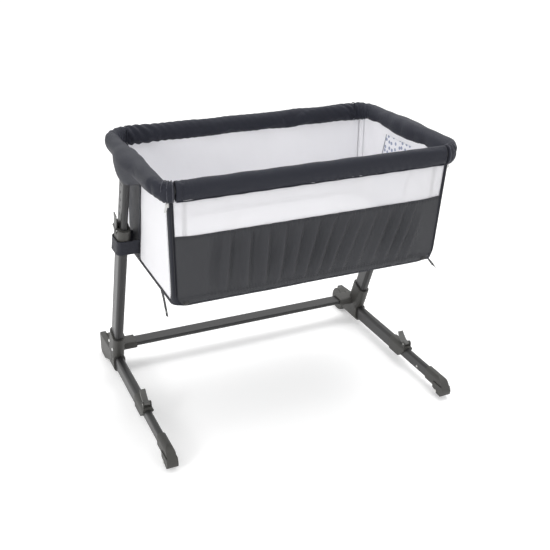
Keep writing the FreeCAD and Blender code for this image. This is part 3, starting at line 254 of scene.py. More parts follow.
# ---------------------------------------------------------------- pins, screws, rubber, rollers
# Zinc-plated pins, axles and snaps, white-capped housing screws, black rubber
# pads under the heels and hard black rollers at the toes.
give(grained("zinc plate", (0.60, 0.60, 0.59, 1.0), 0.34, 700.0, 0.00004, spread=0.06, Metallic=1.0),
     "lever_pins", "strap_snaps", "left_stop_rivet", "right_stop_rivet", "hinge_pins",
     "left_zip_slider", "right_zip_slider")
give(grained("white cap", (0.80, 0.80, 0.78, 1.0), 0.35, 1200.0, 0.00003, spread=0.04),
     "housing_screws", "left_roller_axle", "right_roller_axle")
give(grained("pad rubber", (0.022, 0.022, 0.023, 1.0), 0.75, 600.0, 0.00025), "rear_foot_pads")
give(grained("roller", (0.030, 0.030, 0.031, 1.0), 0.36, 500.0, 0.00008),
     "left_front_roller", "right_front_roller")
give(grained("hardboard", (0.42, 0.33, 0.24, 1.0), 0.7, 260.0, 0.0002, drift=30.0, spread=0.18),
     "base_board")

# ---------------------------------------------------------------- padded rim covers
# Closed tubes of dark charcoal woven polyester over a foam sleeve on the rim
# tube.  The end covers are fuller round the post heads; all are gathered at
# their corner seams, so they wrinkle there.
CHARCOAL = (0.0150, 0.0165, 0.0255, 1.0)
THREAD = 0.0011                       # pitch of the cloth's threads
RIM_Z = 0.819
# Each section: half width, half height, how far out of the rail's line its
# middle lies, the height of its middle, and how far its top leans out.
FRONT_SECTION = (0.0170, 0.0280, 0.0, 0.8148, 0.0)
BACK_SECTION = (0.0175, 0.0290, 0.0026, 0.8209, 0.0)
END_SECTION = (0.0235, 0.0270, 0.0090, 0.8205, -0.35)
HEAD_TOP = 0.848                      # the swelling over a post head
HEAD_LOW = 0.760
HEAD_MIDDLE = 0.8205
HALF_X = 0.435                        # rim tube's centre lines
FRONT_Y = -0.310
REAR_Y = 0.194
BASKET_Y = -0.058
FRONT_CORNER = 0.026
REAR_CORNER = 0.045
SEAM_FRONT = HALF_X - FRONT_CORNER
SEAM_REAR = HALF_X - REAR_CORNER
RING_STEP = 0.005
RING_POINTS = 56

weave, weave_in, weave_out = make_group(
    "plain weave", [("Vector", "Vector"), ("Pitch", "Float"), ("Heather", "Float")],
    ["Height", "Shade"])
cloth_place = add_node(weave, "ShaderNodeSeparateXYZ", {0: weave_in["Vector"]}).outputs
across = calc(weave, "SINE", calc(weave, "DIVIDE", calc(weave, "MULTIPLY", cloth_place["X"], math.pi),
        weave_in["Pitch"]))
along = calc(weave, "SINE", calc(weave, "DIVIDE", calc(weave, "MULTIPLY", cloth_place["Y"], math.pi),
        weave_in["Pitch"]))
on_top = calc(weave, "GREATER_THAN", calc(weave, "MULTIPLY", across, along), 0.0)
warp = calc(weave, "MULTIPLY", calc(weave, "ABSOLUTE", across), on_top)
weft = calc(weave, "MULTIPLY", calc(weave, "ABSOLUTE", along), calc(weave, "SUBTRACT", 1.0, on_top))
thread = calc(weave, "ADD", warp, weft)
heather = noise(weave, weave_in["Vector"], weave_in["Heather"], 3.0, 0.7)
weave.links.new(thread, weave_out.inputs["Height"])
weave.links.new(calc(weave, "MULTIPLY_ADD", thread, 0.45, calc(weave, "MULTIPLY", heather, 0.55)),
        weave_out.inputs["Shade"])


def woven(name, colour, pitch, spread=0.25, heather=420.0, sheen=0.04, roughness=0.55, specular=0.24):
    """Woven cloth whose threads follow the piece's own UV map, in metres."""
    material, tree, shader = surface(name, Roughness=roughness, Sheen_Weight=sheen,
            Sheen_Roughness=0.45, Specular_IOR_Level=specular)
    place = add_node(tree, "ShaderNodeUVMap", uv_map="metres").outputs[0]
    made = add_node(tree, "ShaderNodeGroup", node_tree=weave)
    tree.links.new(place, made.inputs["Vector"])
    made.inputs["Pitch"].default_value = pitch
    made.inputs["Heather"].default_value = heather
    tint(tree, shader, made.outputs["Shade"], colour, 1.0 - spread, 1.0 + spread)
    bump(tree, shader, made.outputs["Height"], pitch * 0.35, 0.7)
    return material


def waves(a, b, seed, size, count=7):
    """Smooth random height from -1 to 1 over a cloth, with lumps about size wide."""
    draw = np.random.default_rng(seed)
    total = 0.0
    for _ in range(count):
        angle, phase, stretch = draw.uniform(0, math.pi), draw.uniform(0, 6.28), draw.uniform(0.6, 1.6)
        total = total + np.sin((a * math.cos(angle) + b * math.sin(angle))
                * 6.28 * stretch / size + phase)
    return total / count ** 0.5 / 1.6


def cloth_mesh(name, points, metres, material, wrap=False, capped=False):
    """Mesh of a grid of points with its UV map in metres.

    wrap joins the last column to the first, and capped closes both end rings.
    """
    rows, columns = points.shape[:2]
    spans = columns if wrap else columns - 1
    faces, corners = [], []
    for r in range(rows - 1):
        for c in range(spans):
            c2 = (c + 1) % columns
            faces.append((r * columns + c, r * columns + c2,
                    (r + 1) * columns + c2, (r + 1) * columns + c))
            corners += [metres[r, c], metres[r, c + 1], metres[r + 1, c + 1], metres[r + 1, c]]
    if capped:
        faces.append(tuple(range(columns))[::-1])
        corners += [metres[0, c] for c in range(columns)][::-1]
        faces.append(tuple((rows - 1) * columns + c for c in range(columns)))
        corners += [metres[-1, c] for c in range(columns)]
    mesh = bpy.data.meshes.new(name)
    mesh.from_pydata(points.reshape(-1, 3).tolist(), [], faces)
    layer = mesh.uv_layers.new(name="metres")
    layer.data.foreach_set("uv", np.array(corners, np.float32).ravel())
    mesh.polygons.foreach_set("use_smooth", [True] * len(faces))
    mesh.materials.append(material)
    made = bpy.data.objects.new(name, mesh)
    scene.collection.objects.link(made)
    if capped:
        face_out(made)
    return made


def face_out(made):
    """Turn the faces of a closed shell outwards."""
    work = bmesh.new()
    work.from_mesh(made.data)
    bmesh.ops.recalc_face_normals(work, faces=work.faces)
    work.to_mesh(made.data)
    work.free()


def add_modifier(made, kind, **settings):
    modifier = made.modifiers.new(kind.lower(), kind)
    for key, value in settings.items():
        setattr(modifier, key, value)
    return modifier


def finer(made):
    add_modifier(made, "SUBSURF", levels=1, render_levels=1)


def section(turn_by, half, tall, out, middle, lean):
    """Padding's section: how far out of the rail's line, and how high."""
    c, s = np.cos(turn_by), np.sin(turn_by)
    a = half * np.sign(c) * np.abs(c) ** 0.9
    b = tall * np.sign(s) * np.abs(s) ** 0.85
    return out + a * np.cos(lean) - b * np.sin(lean), middle + a * np.sin(lean) + b * np.cos(lean)


def eased(t):
    return t * t * (3.0 - 2.0 * t)


def fullness(y):
    """How far the end cover swells at a place along the end rail, from 0 to 1."""
    reach = np.clip((y - BASKET_Y - 0.006) / 0.125, -1.0, 1.0)
    return (0.5 + 0.5 * np.cos(math.pi * reach)) ** 0.65


def padding(name, path, outward, sections, swell, wrinkle, material):
    """Padded tube round a rail: path and outward are arrays of plan points."""
    step = np.linalg.norm(np.diff(path, axis=0), axis=1)
    run = np.concatenate([[0.0], np.cumsum(step)])
    turn_by = np.linspace(0.0, 2 * math.pi, RING_POINTS + 1)[None, :]
    side, rise = section(turn_by, *np.array(sections).T[:, :, None])
    c, s = np.cos(turn_by), np.sin(turn_by)
    low = np.clip(-s, 0.0, 1.0) ** 0.6
    outer = eased(np.clip((c + 0.55) / 0.45, 0.0, 1.0))
    deep = 0.0265 + (HEAD_MIDDLE - HEAD_LOW - 0.0265) * outer
    reach = np.where(c > 0, 0.0420 - 0.006 * low, 0.0290 + 0.007 * low)
    head_side = 0.0070 + 0.0090 * low + reach * np.sign(c) * np.abs(c) ** (0.8 - 0.25 * low)
    head_rise = HEAD_MIDDLE + np.where(s > 0, HEAD_TOP - HEAD_MIDDLE, deep) * np.sign(s) * np.abs(s) ** 0.85
    full = swell[:, None]
    puff = wrinkle(run[:, None], turn_by)
    side = side * (1 - full) + head_side * full + puff * c
    rise = rise * (1 - full) + head_rise * full + puff * s
    metres = np.stack([np.repeat(run[:, None], RING_POINTS + 1, 1),
            turn_by / 6.28 * 0.165 + 0.0 * run[:, None]],
            axis=2)
    points = np.zeros((len(path), RING_POINTS + 1, 3))
    points[:, :, :2] = path[:, None, :] + outward[:, None, :] * side[:, :, None]
    points[:, :, 2] = rise
    return cloth_mesh(name, points[:, :-1], metres, material, wrap=True, capped=True)


def puffed(made, most, pressure=3.0, spare=0.03, frames=14):
    """Let air and spare cloth wrinkle a padded tube, two rings held at each end."""
    rest = np.array([v.co for v in made.data.vertices])
    group = made.vertex_groups.new(name="pinned")
    held = 2 * RING_POINTS
    group.add([*range(held), *range(len(rest) - held, len(rest))], 1.0, "REPLACE")
    cloth = add_modifier(made, "CLOTH")
    cloth.settings.quality = 6
    cloth.settings.mass = 0.25
    cloth.settings.tension_stiffness = 18.0
    cloth.settings.compression_stiffness = 18.0
    cloth.settings.shear_stiffness = 6.0
    cloth.settings.bending_stiffness = 0.6
    cloth.settings.shrink_min = -spare
    cloth.settings.use_pressure = True
    cloth.settings.uniform_pressure_force = pressure
    cloth.settings.vertex_group_mass = "pinned"
    cloth.settings.effector_weights.gravity = 0.0
    cloth.collision_settings.use_collision = False
    cloth.point_cache.frame_start = 1
    cloth.point_cache.frame_end = frames
    for number in range(1, frames + 1):
        scene.frame_set(number)
    done = made.evaluated_get(bpy.context.evaluated_depsgraph_get())
    moved = np.array([v.co for v in done.data.vertices])
    made.modifiers.remove(cloth)
    made.vertex_groups.remove(group)
    scene.frame_set(1)
    shift = moved - rest
    length = np.linalg.norm(shift, axis=1, keepdims=True)
    shift *= np.minimum(1.0, most / np.maximum(length, 1e-9))
    made.data.vertices.foreach_set("co", (rest + shift).astype(np.float32).ravel())
    made.data.update()


def settle(piece, slot, body, *nodes):
    """Attach a piece to its body and hide the CAD nodes it stands for; slot is not used."""
    if nodes:
        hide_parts(*nodes)
    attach(piece, body)


def rim_cover(made, most, body, node):
    """Swell a padded tube, smooth it, hide the CAD cover it stands for and attach it to its body."""
    puffed(made, most)
    finer(made)
    settle(made, "padded_cloth", body, node)


def arc(centre, radius, start, end):
    """Plan points and outward directions of an arc, angles in degrees."""
    count = max(3, int(abs(math.radians(end - start)) * radius / RING_STEP) + 2)
    turn_by = np.radians(np.linspace(start, end, count))
    way = np.stack([np.cos(turn_by), np.sin(turn_by)], axis=1)
    return np.array(centre) + way * radius, way


def straight(start, end, way):
    count = int(math.dist(start, end) / RING_STEP) + 2
    share = np.linspace(0.0, 1.0, count)[:, None]
    return (1 - share) * np.array(start) + share * np.array(end), np.repeat([way], count, axis=0)


def end_wrinkles(run, turn_by):
    """Slow lumps everywhere, and fine creases near the back corner's seam."""
    length = 0.545
    back = np.exp(-((length - run) / 0.055) ** 2)
    front = np.exp(-(run / 0.035) ** 2)
    creases = np.sin((run + 0.012 * turn_by) * 6.28 / 0.017 + 1.2 * np.sin(turn_by * 2))
    return (0.0012 * waves(run, turn_by * 0.03, 3, 0.09) + 0.0016 * (back + 0.7 * front) * creases)


charcoal_cloth = woven("charcoal cloth", CHARCOAL, THREAD)
pieces = [arc((SEAM_FRONT, FRONT_Y + FRONT_CORNER), FRONT_CORNER, -90.0, 0.0),
        straight((HALF_X, FRONT_Y + FRONT_CORNER), (HALF_X, REAR_Y - REAR_CORNER), (1.0, 0.0)),
        arc((SEAM_REAR, REAR_Y - REAR_CORNER), REAR_CORNER, 0.0, 90.0)]
end_path = np.concatenate([pieces[0][0], pieces[1][0][1:-1], pieces[2][0]])
end_way = np.concatenate([pieces[0][1], pieces[1][1][1:-1], pieces[2][1]])
swell = np.where(end_path[:, 0] > HALF_X - 0.002, fullness(end_path[:, 1]), 0.0)

near_front = eased(np.clip((FRONT_Y + FRONT_CORNER + 0.02 - end_path[:, 1]) / 0.046, 0.0, 1.0))[:, None]
near_back = eased(np.clip((end_path[:, 1] - REAR_Y + REAR_CORNER + 0.02) / 0.065, 0.0, 1.0))[:, None]
end_sections = (np.array(END_SECTION) * (1.0 - near_front - near_back)
        + np.array(FRONT_SECTION) * near_front + np.array(BACK_SECTION) * near_back)
for side, sign in (("left", -1.0), ("right", 1.0)):
    mirror = np.array([sign, 1.0])
    cover = padding(side + "_rim_padding", end_path * mirror, end_way * mirror, end_sections, swell,
            end_wrinkles, charcoal_cloth)
    rim_cover(cover, 0.0025, "basket", side + "_rim_cover")


def back_wrinkles(run, turn_by):
    """Diagonal creases that run down from the back corners and fade inwards."""
    near = np.exp(-(run / 0.11) ** 1.5) + 0.35 * np.exp(-((0.78 - run) / 0.06) ** 2)
    creases = np.sin((run - 0.020 * turn_by) * 6.28 / 0.026 + 2.0 * waves(run, turn_by * 0.03, 9, 0.15))
    return (0.0009 * waves(run, turn_by * 0.03, 5, 0.11) + 0.0022 * near * creases
            + 0.0003 * creases)


path, way = straight((-SEAM_REAR, REAR_Y), (SEAM_REAR, REAR_Y), (0.0, 1.0))
cover = padding("back_rim_padding", path, way, [BACK_SECTION] * len(path), np.zeros(len(path)),
        back_wrinkles, charcoal_cloth)
rim_cover(cover, 0.002, "basket", "back_rim_cover")


def front_wrinkles(run, turn_by):
    """Gathers at the left end, and slanting creases low on the right half."""
    low = np.clip(-np.sin(turn_by), 0.0, 1.0)
    left = np.exp(-(run / 0.05) ** 2)
    rest = np.exp(-((run - 0.56) / 0.19) ** 4)
    creases = np.sin((run + 0.016 * turn_by) * 6.28 / 0.024
            + 1.5 * waves(run, turn_by * 0.03, 14, 0.13))
    gathers = np.sin(run * 6.28 / 0.011 + 0.8 * np.sin(turn_by))
    return (0.0008 * waves(run, turn_by * 0.03, 12, 0.10) + 0.0019 * rest * low * creases
            + 0.0014 * left * gathers)


path, way = straight((-SEAM_FRONT + 0.0008, FRONT_Y), (SEAM_FRONT - 0.0008, FRONT_Y), (0.0, -1.0))
cover = padding("front_rail_padding", path, way, [FRONT_SECTION] * len(path), np.zeros(len(path)),
        front_wrinkles, charcoal_cloth)
rim_cover(cover, 0.0018, "drop_side", "front_rail_cover")


# ---------------------------------------------------------------- piping and seam bands
# A corded piping along the lower edge of each long rail's padding, where the
# walls are sewn in, and three thin corded bands round each front corner.
PIPING_R = 0.0019
FRONT_PIPING_Z = 0.7882
BACK_PIPING_Z = 0.7945
BAND_GREY = (0.050, 0.051, 0.066, 1.0)


def rod(name, line, radius, material, closed=False, points_round=8):
    """Round cord along a line of points, its ends closed."""
    line = np.array(line, float)
    ahead_by = np.roll(line, -1, 0) - np.roll(line, 1, 0)
    if not closed:
        ahead_by[0], ahead_by[-1] = line[1] - line[0], line[-1] - line[-2]
    ahead_by /= np.linalg.norm(ahead_by, axis=1, keepdims=True)
    helper = np.where(np.abs(ahead_by[:, 2:3]) > 0.9, [[1.0, 0.0, 0.0]], [[0.0, 0.0, 1.0]])
    side = np.cross(ahead_by, helper)
    side /= np.linalg.norm(side, axis=1, keepdims=True)
    over = np.cross(side, ahead_by)
    turn_by = np.linspace(0, 2 * math.pi, points_round + 1)
    ring = (side[:, None] * np.cos(turn_by)[None, :, None]
            + over[:, None] * np.sin(turn_by)[None, :, None])
    points = line[:, None] + ring * radius
    run = np.concatenate([[0.0], np.cumsum(np.linalg.norm(np.diff(line, axis=0), axis=1))])
    metres = np.stack([np.repeat(run[:, None], points_round + 1, 1),
            np.repeat((turn_by * radius)[None], len(line), 0)], axis=2)
    if closed:
        points = np.concatenate([points, points[:1]])
        metres = np.concatenate([metres, metres[-1:] + [[radius, 0.0]]])
    made = cloth_mesh(name, points[:, :-1], metres, material, wrap=True, capped=not closed)
    if closed:
        work = bmesh.new()
        work.from_mesh(made.data)
        bmesh.ops.remove_doubles(work, verts=work.verts, dist=1e-6)
        bmesh.ops.recalc_face_normals(work, faces=work.faces)
        work.to_mesh(made.data)
        work.free()
    return made


def joined(name, parts):
    """One object from several of the same body."""
    with bpy.context.temp_override(active_object=parts[0], selected_editable_objects=parts):
        bpy.ops.object.join()
    parts[0].name = parts[0].data.name = name
    return parts[0]


piping_cloth = woven("piping cloth", shade(CHARCOAL, 1.25), THREAD)
xs = np.linspace(-SEAM_FRONT + 0.004, SEAM_FRONT - 0.004, 120)
piping = rod("front_rail_piping", [
        (x, FRONT_Y - 0.0085, FRONT_PIPING_Z + 0.0005 * math.sin(x * 90)) for x in xs],
        PIPING_R, piping_cloth)
settle(piping, "padded_cloth", "drop_side")
xs = np.linspace(-SEAM_REAR + 0.004, SEAM_REAR - 0.004, 120)
piping = rod("back_rail_piping", [
        (x, REAR_Y + 0.0140, BACK_PIPING_Z + 0.0006 * math.sin(x * 80)) for x in xs],
        PIPING_R, piping_cloth)
settle(piping, "padded_cloth", "basket")


def seam_ring(place, way, shape, radius, material):
    """Cord round the padding's section at a plan point."""
    turn_by = np.linspace(0.0, 2 * math.pi, 41)[:-1]
    grown = (shape[0] + 0.0006, shape[1] + 0.0006) + tuple(shape[2:])
    outs, heights = section(turn_by, *grown)
    line = [(place[0] + way[0] * o, place[1] + way[1] * o, h) for o, h in zip(outs, heights)]
    return rod("ring", line, radius, material, closed=True)


band_cloth = woven("seam band", BAND_GREY, THREAD, sheen=0.2)
rings = []
for sign in (-1.0, 1.0):
    for number, radius in ((1, 0.0016), (3, 0.0014), (5, 0.0014)):
        rings.append(seam_ring(end_path[number] * (sign, 1.0), end_way[number] * (sign, 1.0),
                end_sections[number], radius, band_cloth))
bands = joined("corner_seam_bands", rings)
settle(bands, "padded_cloth", "basket")
rings = [seam_ring((sign * SEAM_REAR, REAR_Y), (0.0, 1.0), BACK_SECTION, 0.0016, piping_cloth)
        for sign in (-1, 1)]
bands = joined("back_corner_seams", rings)
settle(bands, "padded_cloth", "basket")

# ---------------------------------------------------------------- mesh walls
# White warp-knitted spacer mesh, sewn to the padding above and to the dark
# bottom binding below.  Both ends and the back are lined, so they look nearly
# solid; they pucker a little between their seams.
MESH_WHITE = (0.90, 0.895, 0.92, 1.0)
FLOOR_Z = 0.480
WALL_TOP = 0.795
WALL_RISE = 0.339
CELL = 0.0034                         # pitch of the knitted holes


def wall_x(z):
    return 0.415 + (z - FLOOR_Z) / WALL_RISE * 0.010


def wall_y(z):
    return 0.231 + (z - FLOOR_Z) / WALL_RISE * 0.021


TAPE_REACH = 0.013                    # how far the corner tapes come round the long walls


def corner_r(z):
    """Plan radius of the basket's upright corners, wider at the bottom."""
    return 0.009 + 0.017 * np.clip(1.0 - (z - FLOOR_Z) / 0.044, 0.0, 1.0) ** 2


net, net_in, net_out = make_group("knitted holes", [("Vector", "Vector"), ("Cell", "Float")],
        ["Hole", "Height"])
scaled = add_node(net, "ShaderNodeVectorMath", {0: net_in["Vector"]}, operation="SCALE")
net.links.new(calc(net, "DIVIDE", 1.0, net_in["Cell"]), scaled.inputs["Scale"])
cells = add_node(net, "ShaderNodeTexVoronoi", {"Vector": scaled.outputs[0], "Scale": 1.0,
        "Randomness": 0.12}, voronoi_dimensions="2D")
hole = add_node(net, "ShaderNodeMapRange", {"Value": cells.outputs["Distance"], "From Min": 0.42,
        "From Max": 0.28})
net.links.new(hole.outputs[0], net_out.inputs["Hole"])
net.links.new(calc(net, "SUBTRACT", 1.0, hole.outputs[0]), net_out.inputs["Height"])


def knitted(name, colour, cell, hole_shade, spread=0.04):
    material, tree, shader = surface(name, Roughness=0.85, Sheen_Weight=0.15, Specular_IOR_Level=0.3)
    place = add_node(tree, "ShaderNodeUVMap", uv_map="metres").outputs[0]
    made = add_node(tree, "ShaderNodeGroup", node_tree=net)
    tree.links.new(place, made.inputs["Vector"])
    made.inputs["Cell"].default_value = cell
    drift = calc(tree, "MULTIPLY", noise(tree, place, 26.0, 3.0), spread)
    mask = calc(tree, "ADD", calc(tree, "MULTIPLY", made.outputs["Hole"], 1.0 - spread), drift)
    tint(tree, shader, mask, colour, 1.0, hole_shade)
    bump(tree, shader, made.outputs["Height"], cell * 0.15, 0.5)
    return material, tree, shader, made


def wall_sheet(name, rows, across_at, place_at, material, thickness, step=0.006):
    """Sheet over a wall: rows of heights, its reach at a height, and its place."""
    count = int((rows[-1] - rows[0]) / step) + 2
    zs = np.linspace(rows[0], rows[-1], count)
    widest = max(across_at(z)[1] - across_at(z)[0] for z in (rows[0], rows[-1]))
    columns = int(widest / step) + 2
    share = np.linspace(0.0, 1.0, columns)
    points, metres = [], []
    for z in zs:
        start, end = across_at(z)
        a = start + (end - start) * share
        points.append(np.stack(place_at(a, z), axis=1))
        metres.append(np.stack([a, np.full(columns, z)], axis=1))
    made = cloth_mesh(name, np.array(points), np.array(metres), material)
    add_modifier(made, "SOLIDIFY", thickness=thickness, offset=0.0)
    return made


white_mesh = knitted("white spacer mesh", MESH_WHITE, CELL, 0.90)[0]
for side, sign in (("left", -1.0), ("right", 1.0)):
    def end_reach(z):
        inset = corner_r(z) + 0.001
        return BASKET_Y - wall_y(z) + inset, BASKET_Y + wall_y(z) - inset

    def end_place(y, z):
        edge = np.clip(1.0 - np.abs(y - BASKET_Y) / wall_y(z), 0.0, 1.0) ** 0.5
        pucker = 0.0014 * edge * waves(y, z, 21 + int(sign), 0.12)
        pucker = pucker + 0.0006 * np.exp(-((z - 0.79) / 0.02) ** 2) * np.sin(y * 6.28 / 0.013)
        return sign * (wall_x(z) - 0.0016 + pucker), y, np.full_like(y, z)

    panel = wall_sheet(side + "_end_mesh", (0.484, 0.808), end_reach, end_place,
            white_mesh, 0.0024)
    settle(panel, "mesh", "basket", side + "_end_panel")


def back_reach(z):
    half = wall_x(z) - corner_r(z) - 0.002
    return -half, half


def back_place(x, z):
    edge = np.clip(1.0 - np.abs(x) / 0.40, 0.0, 1.0) ** 0.4
    pucker = 0.0016 * edge * waves(x, z, 31, 0.14)
    return x, BASKET_Y + wall_y(z) - 0.0016 + pucker, np.full_like(x, z)


panel = wall_sheet("back_mesh", (0.484, WALL_TOP + 0.008), back_reach, back_place, white_mesh, 0.0024)
settle(panel, "mesh", "basket", "back_panel")

# ---------------------------------------------------------------- front window
# One layer of fine white net in the drop side, between the padding and the
# dark band; the lining behind it shows through faintly.
BAND_TOP = 0.684
window_net, window_tree, window_shader, holes = knitted("window net", MESH_WHITE, 0.0026, 0.94)
alpha = calc(window_tree, "MULTIPLY_ADD", holes.outputs["Hole"], -0.45, 0.84)
window_tree.links.new(alpha, window_shader.inputs["Alpha"])


def window_reach(z):
    half = wall_x(z) - TAPE_REACH + 0.0002
    return -half, half


def window_place(x, z):
    slack = np.sin(math.pi * np.clip((z - 0.676) / 0.115, 0, 1)) * np.cos(x / 0.41 * math.pi / 2)
    pucker = 0.0006 * waves(x, z, 41, 0.09) - 0.0012 * slack
    return x, BASKET_Y - wall_y(z) - pucker, np.full_like(x, z)


window = wall_sheet("front_window", (BAND_TOP - 0.006, 0.7895), window_reach, window_place,
        window_net, 0.0006)
settle(window, "mesh", "drop_side", "front_mesh")

# ---------------------------------------------------------------- front band
# Dark woven skirt of the drop side, gathered into its top seam and its hem, so
# it falls in broad soft folds; the hem is a flat binding along the bottom.
BAND_LOW = 0.4795
HEM_Z = 0.4985
BAND_CHARCOAL = (0.020, 0.021, 0.026, 1.0)
band_woven = woven("skirt cloth", BAND_CHARCOAL, THREAD, spread=0.28, roughness=0.42, specular=0.45)


def fold_phase(x):
    """Running count of folds: wide ones on the left, closer on the right."""
    return 6.28 * (14.9 * x + 6.3 * (x + 0.4) ** 2)


def band_folds(x, z):
    share = np.clip((z - HEM_Z) / (BAND_TOP - HEM_Z), 0.0, 1.0)
    slant = np.clip((x + 0.20) / 0.25, 0.0, 1.0) * 0.055 * (share - 1.0)
    at = x - slant
    calm = np.clip((x + 0.335) / 0.07, 0.0, 1.0) * np.clip((0.37 - x) / 0.06, 0.0, 1.0)
    calm = calm * calm * (3 - 2 * calm)
    middle = np.sin(math.pi * np.clip(share, 0.005, 0.995)) ** 0.6
    wander = 0.9 * waves(at, np.full_like(at, z * 0.4), 57, 0.24)
    broad = np.sin(fold_phase(at) + wander)
    depth = 0.0078 - 0.0044 * (x + 0.4) + 0.0026 * waves(x, np.full_like(x, 0.0), 59, 0.16)
    folds = depth * calm * middle * (broad - 0.25 * np.cos(2 * (fold_phase(at) + wander)))
    folds = folds + 0.0014 * calm * waves(at * 1.0, np.full_like(at, z * 0.3), 61, 0.05) * middle
    top = np.exp(-((BAND_TOP - 0.004 - z) / 0.013) ** 2)
    foot = np.exp(-((z - HEM_Z - 0.003) / 0.009) ** 2)
    tiny = np.sin(x * 6.28 / 0.0095 + 2.2 * waves(x, np.full_like(x, 0.0), 63, 0.05))
    puckers = (0.0010 * top + 0.0008 * foot) * tiny * (0.35 + 0.65 * calm)
    hem = -0.0012 * math.exp(-((z - HEM_Z) / 0.0016) ** 2)
    lip = -0.0010 * math.exp(-((z - (BAND_TOP - 0.004)) / 0.0014) ** 2)
    return folds + puckers + hem + lip


def band_reach(z):
    half = wall_x(z) - max(TAPE_REACH, corner_r(z) + 0.001) + 0.0006
    return -half, half


def band_place(x, z):
    tuck = 0.006 * max(0.0, (0.486 - z) / 0.0065) ** 2
    ends = 0.004 * np.clip((np.abs(x) - 0.34) / 0.06, 0.0, 1.0) ** 2 * max(0.0, (z - 0.60) / 0.084)
    return x, BASKET_Y - wall_y(z) - 0.0022 - band_folds(x, z) + tuck, z + ends


band = wall_sheet("front_skirt", (BAND_LOW, BAND_TOP), band_reach, band_place, band_woven,
        0.0014, step=0.0027)
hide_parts("front_band")
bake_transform(band)

# ---------------------------------------------------------------- back band
# The same dark cloth across the foot of the back wall, sewn flat.


def back_band_place(x, z):
    calm = np.clip((0.36 - np.abs(x)) / 0.08, 0.0, 1.0)
    soft = 0.0012 * calm * waves(x, np.full_like(x, z * 0.4), 71, 0.11)
    seam = -0.0008 * math.exp(-((z - (BAND_TOP - 0.004)) / 0.0015) ** 2)
    return x, BASKET_Y + wall_y(z) + 0.0028 + soft + seam, np.full_like(x, z)


def back_band_reach(z):
    half = wall_x(z) - max(TAPE_REACH, corner_r(z) + 0.001) + 0.001
    return -half, half


band = wall_sheet("back_band_cloth", (0.482, BAND_TOP), back_band_reach, back_band_place,
        band_woven, 0.0014, step=0.004)
settle(band, "dark_cloth", "basket", "back_band")

# ---------------------------------------------------------------- corner bindings
# Dark tape that turns each upright corner and closes the walls to each other.
# The two at the front carry the zips that let the drop side down.
TAPE = 0.0022


def corner_tape(name, sign, side, overlap, grow, thick, material):
    """Tape round one corner, from the end wall to the long wall."""
    zs = np.linspace(0.4805, 0.801, 64)
    points, metres = [], []
    for z in zs:
        r = float(corner_r(z))
        reach = max(TAPE_REACH, r + 0.001)
        cx, cy = wall_x(z) - r, wall_y(z) - r
        turn_by = np.linspace(0.0, math.pi / 2, 12)
        xs = np.concatenate([np.full(4, wall_x(z)), cx + r * np.cos(turn_by),
                np.linspace(cx, wall_x(z) - reach, 5)[1:]])
        ys = np.concatenate([np.linspace(cy - overlap, cy, 5)[:-1], cy + r * np.sin(turn_by),
                np.full(4, wall_y(z))])
        ways_x = np.concatenate([np.ones(4), np.cos(turn_by), np.zeros(4)])
        ways_y = np.concatenate([np.zeros(4), np.sin(turn_by), np.ones(4)])
        xs, ys = xs + ways_x * grow, ys + ways_y * grow
        run = np.concatenate([[0.0], np.cumsum(np.hypot(np.diff(xs), np.diff(ys)))])
        points.append(np.stack([sign * xs, BASKET_Y + side * ys, np.full_like(xs, z)], axis=1))
        metres.append(np.stack([run, np.full_like(run, z)], axis=1))
    made = cloth_mesh(name, np.array(points), np.array(metres), material)
    if sign * side < 0:
        made.data.flip_normals()
    add_modifier(made, "SOLIDIFY", thickness=thick, offset=-1.0 if sign * side > 0 else 1.0)
    return made


tape_cloth = woven("binding tape", shade(CHARCOAL, 0.85), 0.0014, spread=0.2)


def baked(made):
    """The object's modifiers turned into its mesh."""
    bpy.context.view_layer.update()
    solid = bpy.data.meshes.new_from_object(made.evaluated_get(bpy.context.evaluated_depsgraph_get()))
    made.modifiers.clear()
    made.data = solid
    return made


tape = joined("corner_tapes", [baked(corner_tape("tape", sign, side, 0.008, 0.0006, TAPE, tape_cloth))
        for sign in (-1.0, 1.0) for side in (-1.0, 1.0)])
settle(tape, "dark_cloth", "basket", "corner_bindings")
lining = joined("corner_linings", [
        baked(corner_tape("lining", sign, 1.0, 0.012, -0.0046, 0.0010, white_mesh))
        for sign in (-1.0, 1.0)])
settle(lining, "mesh", "basket")

# ---------------------------------------------------------------- stitching and zips
# Lockstitch rows of dark thread along the skirt's two seams and both edges of
# each corner tape, and the fine nylon coil of the zip down each front corner.
THREAD_R = 0.00032


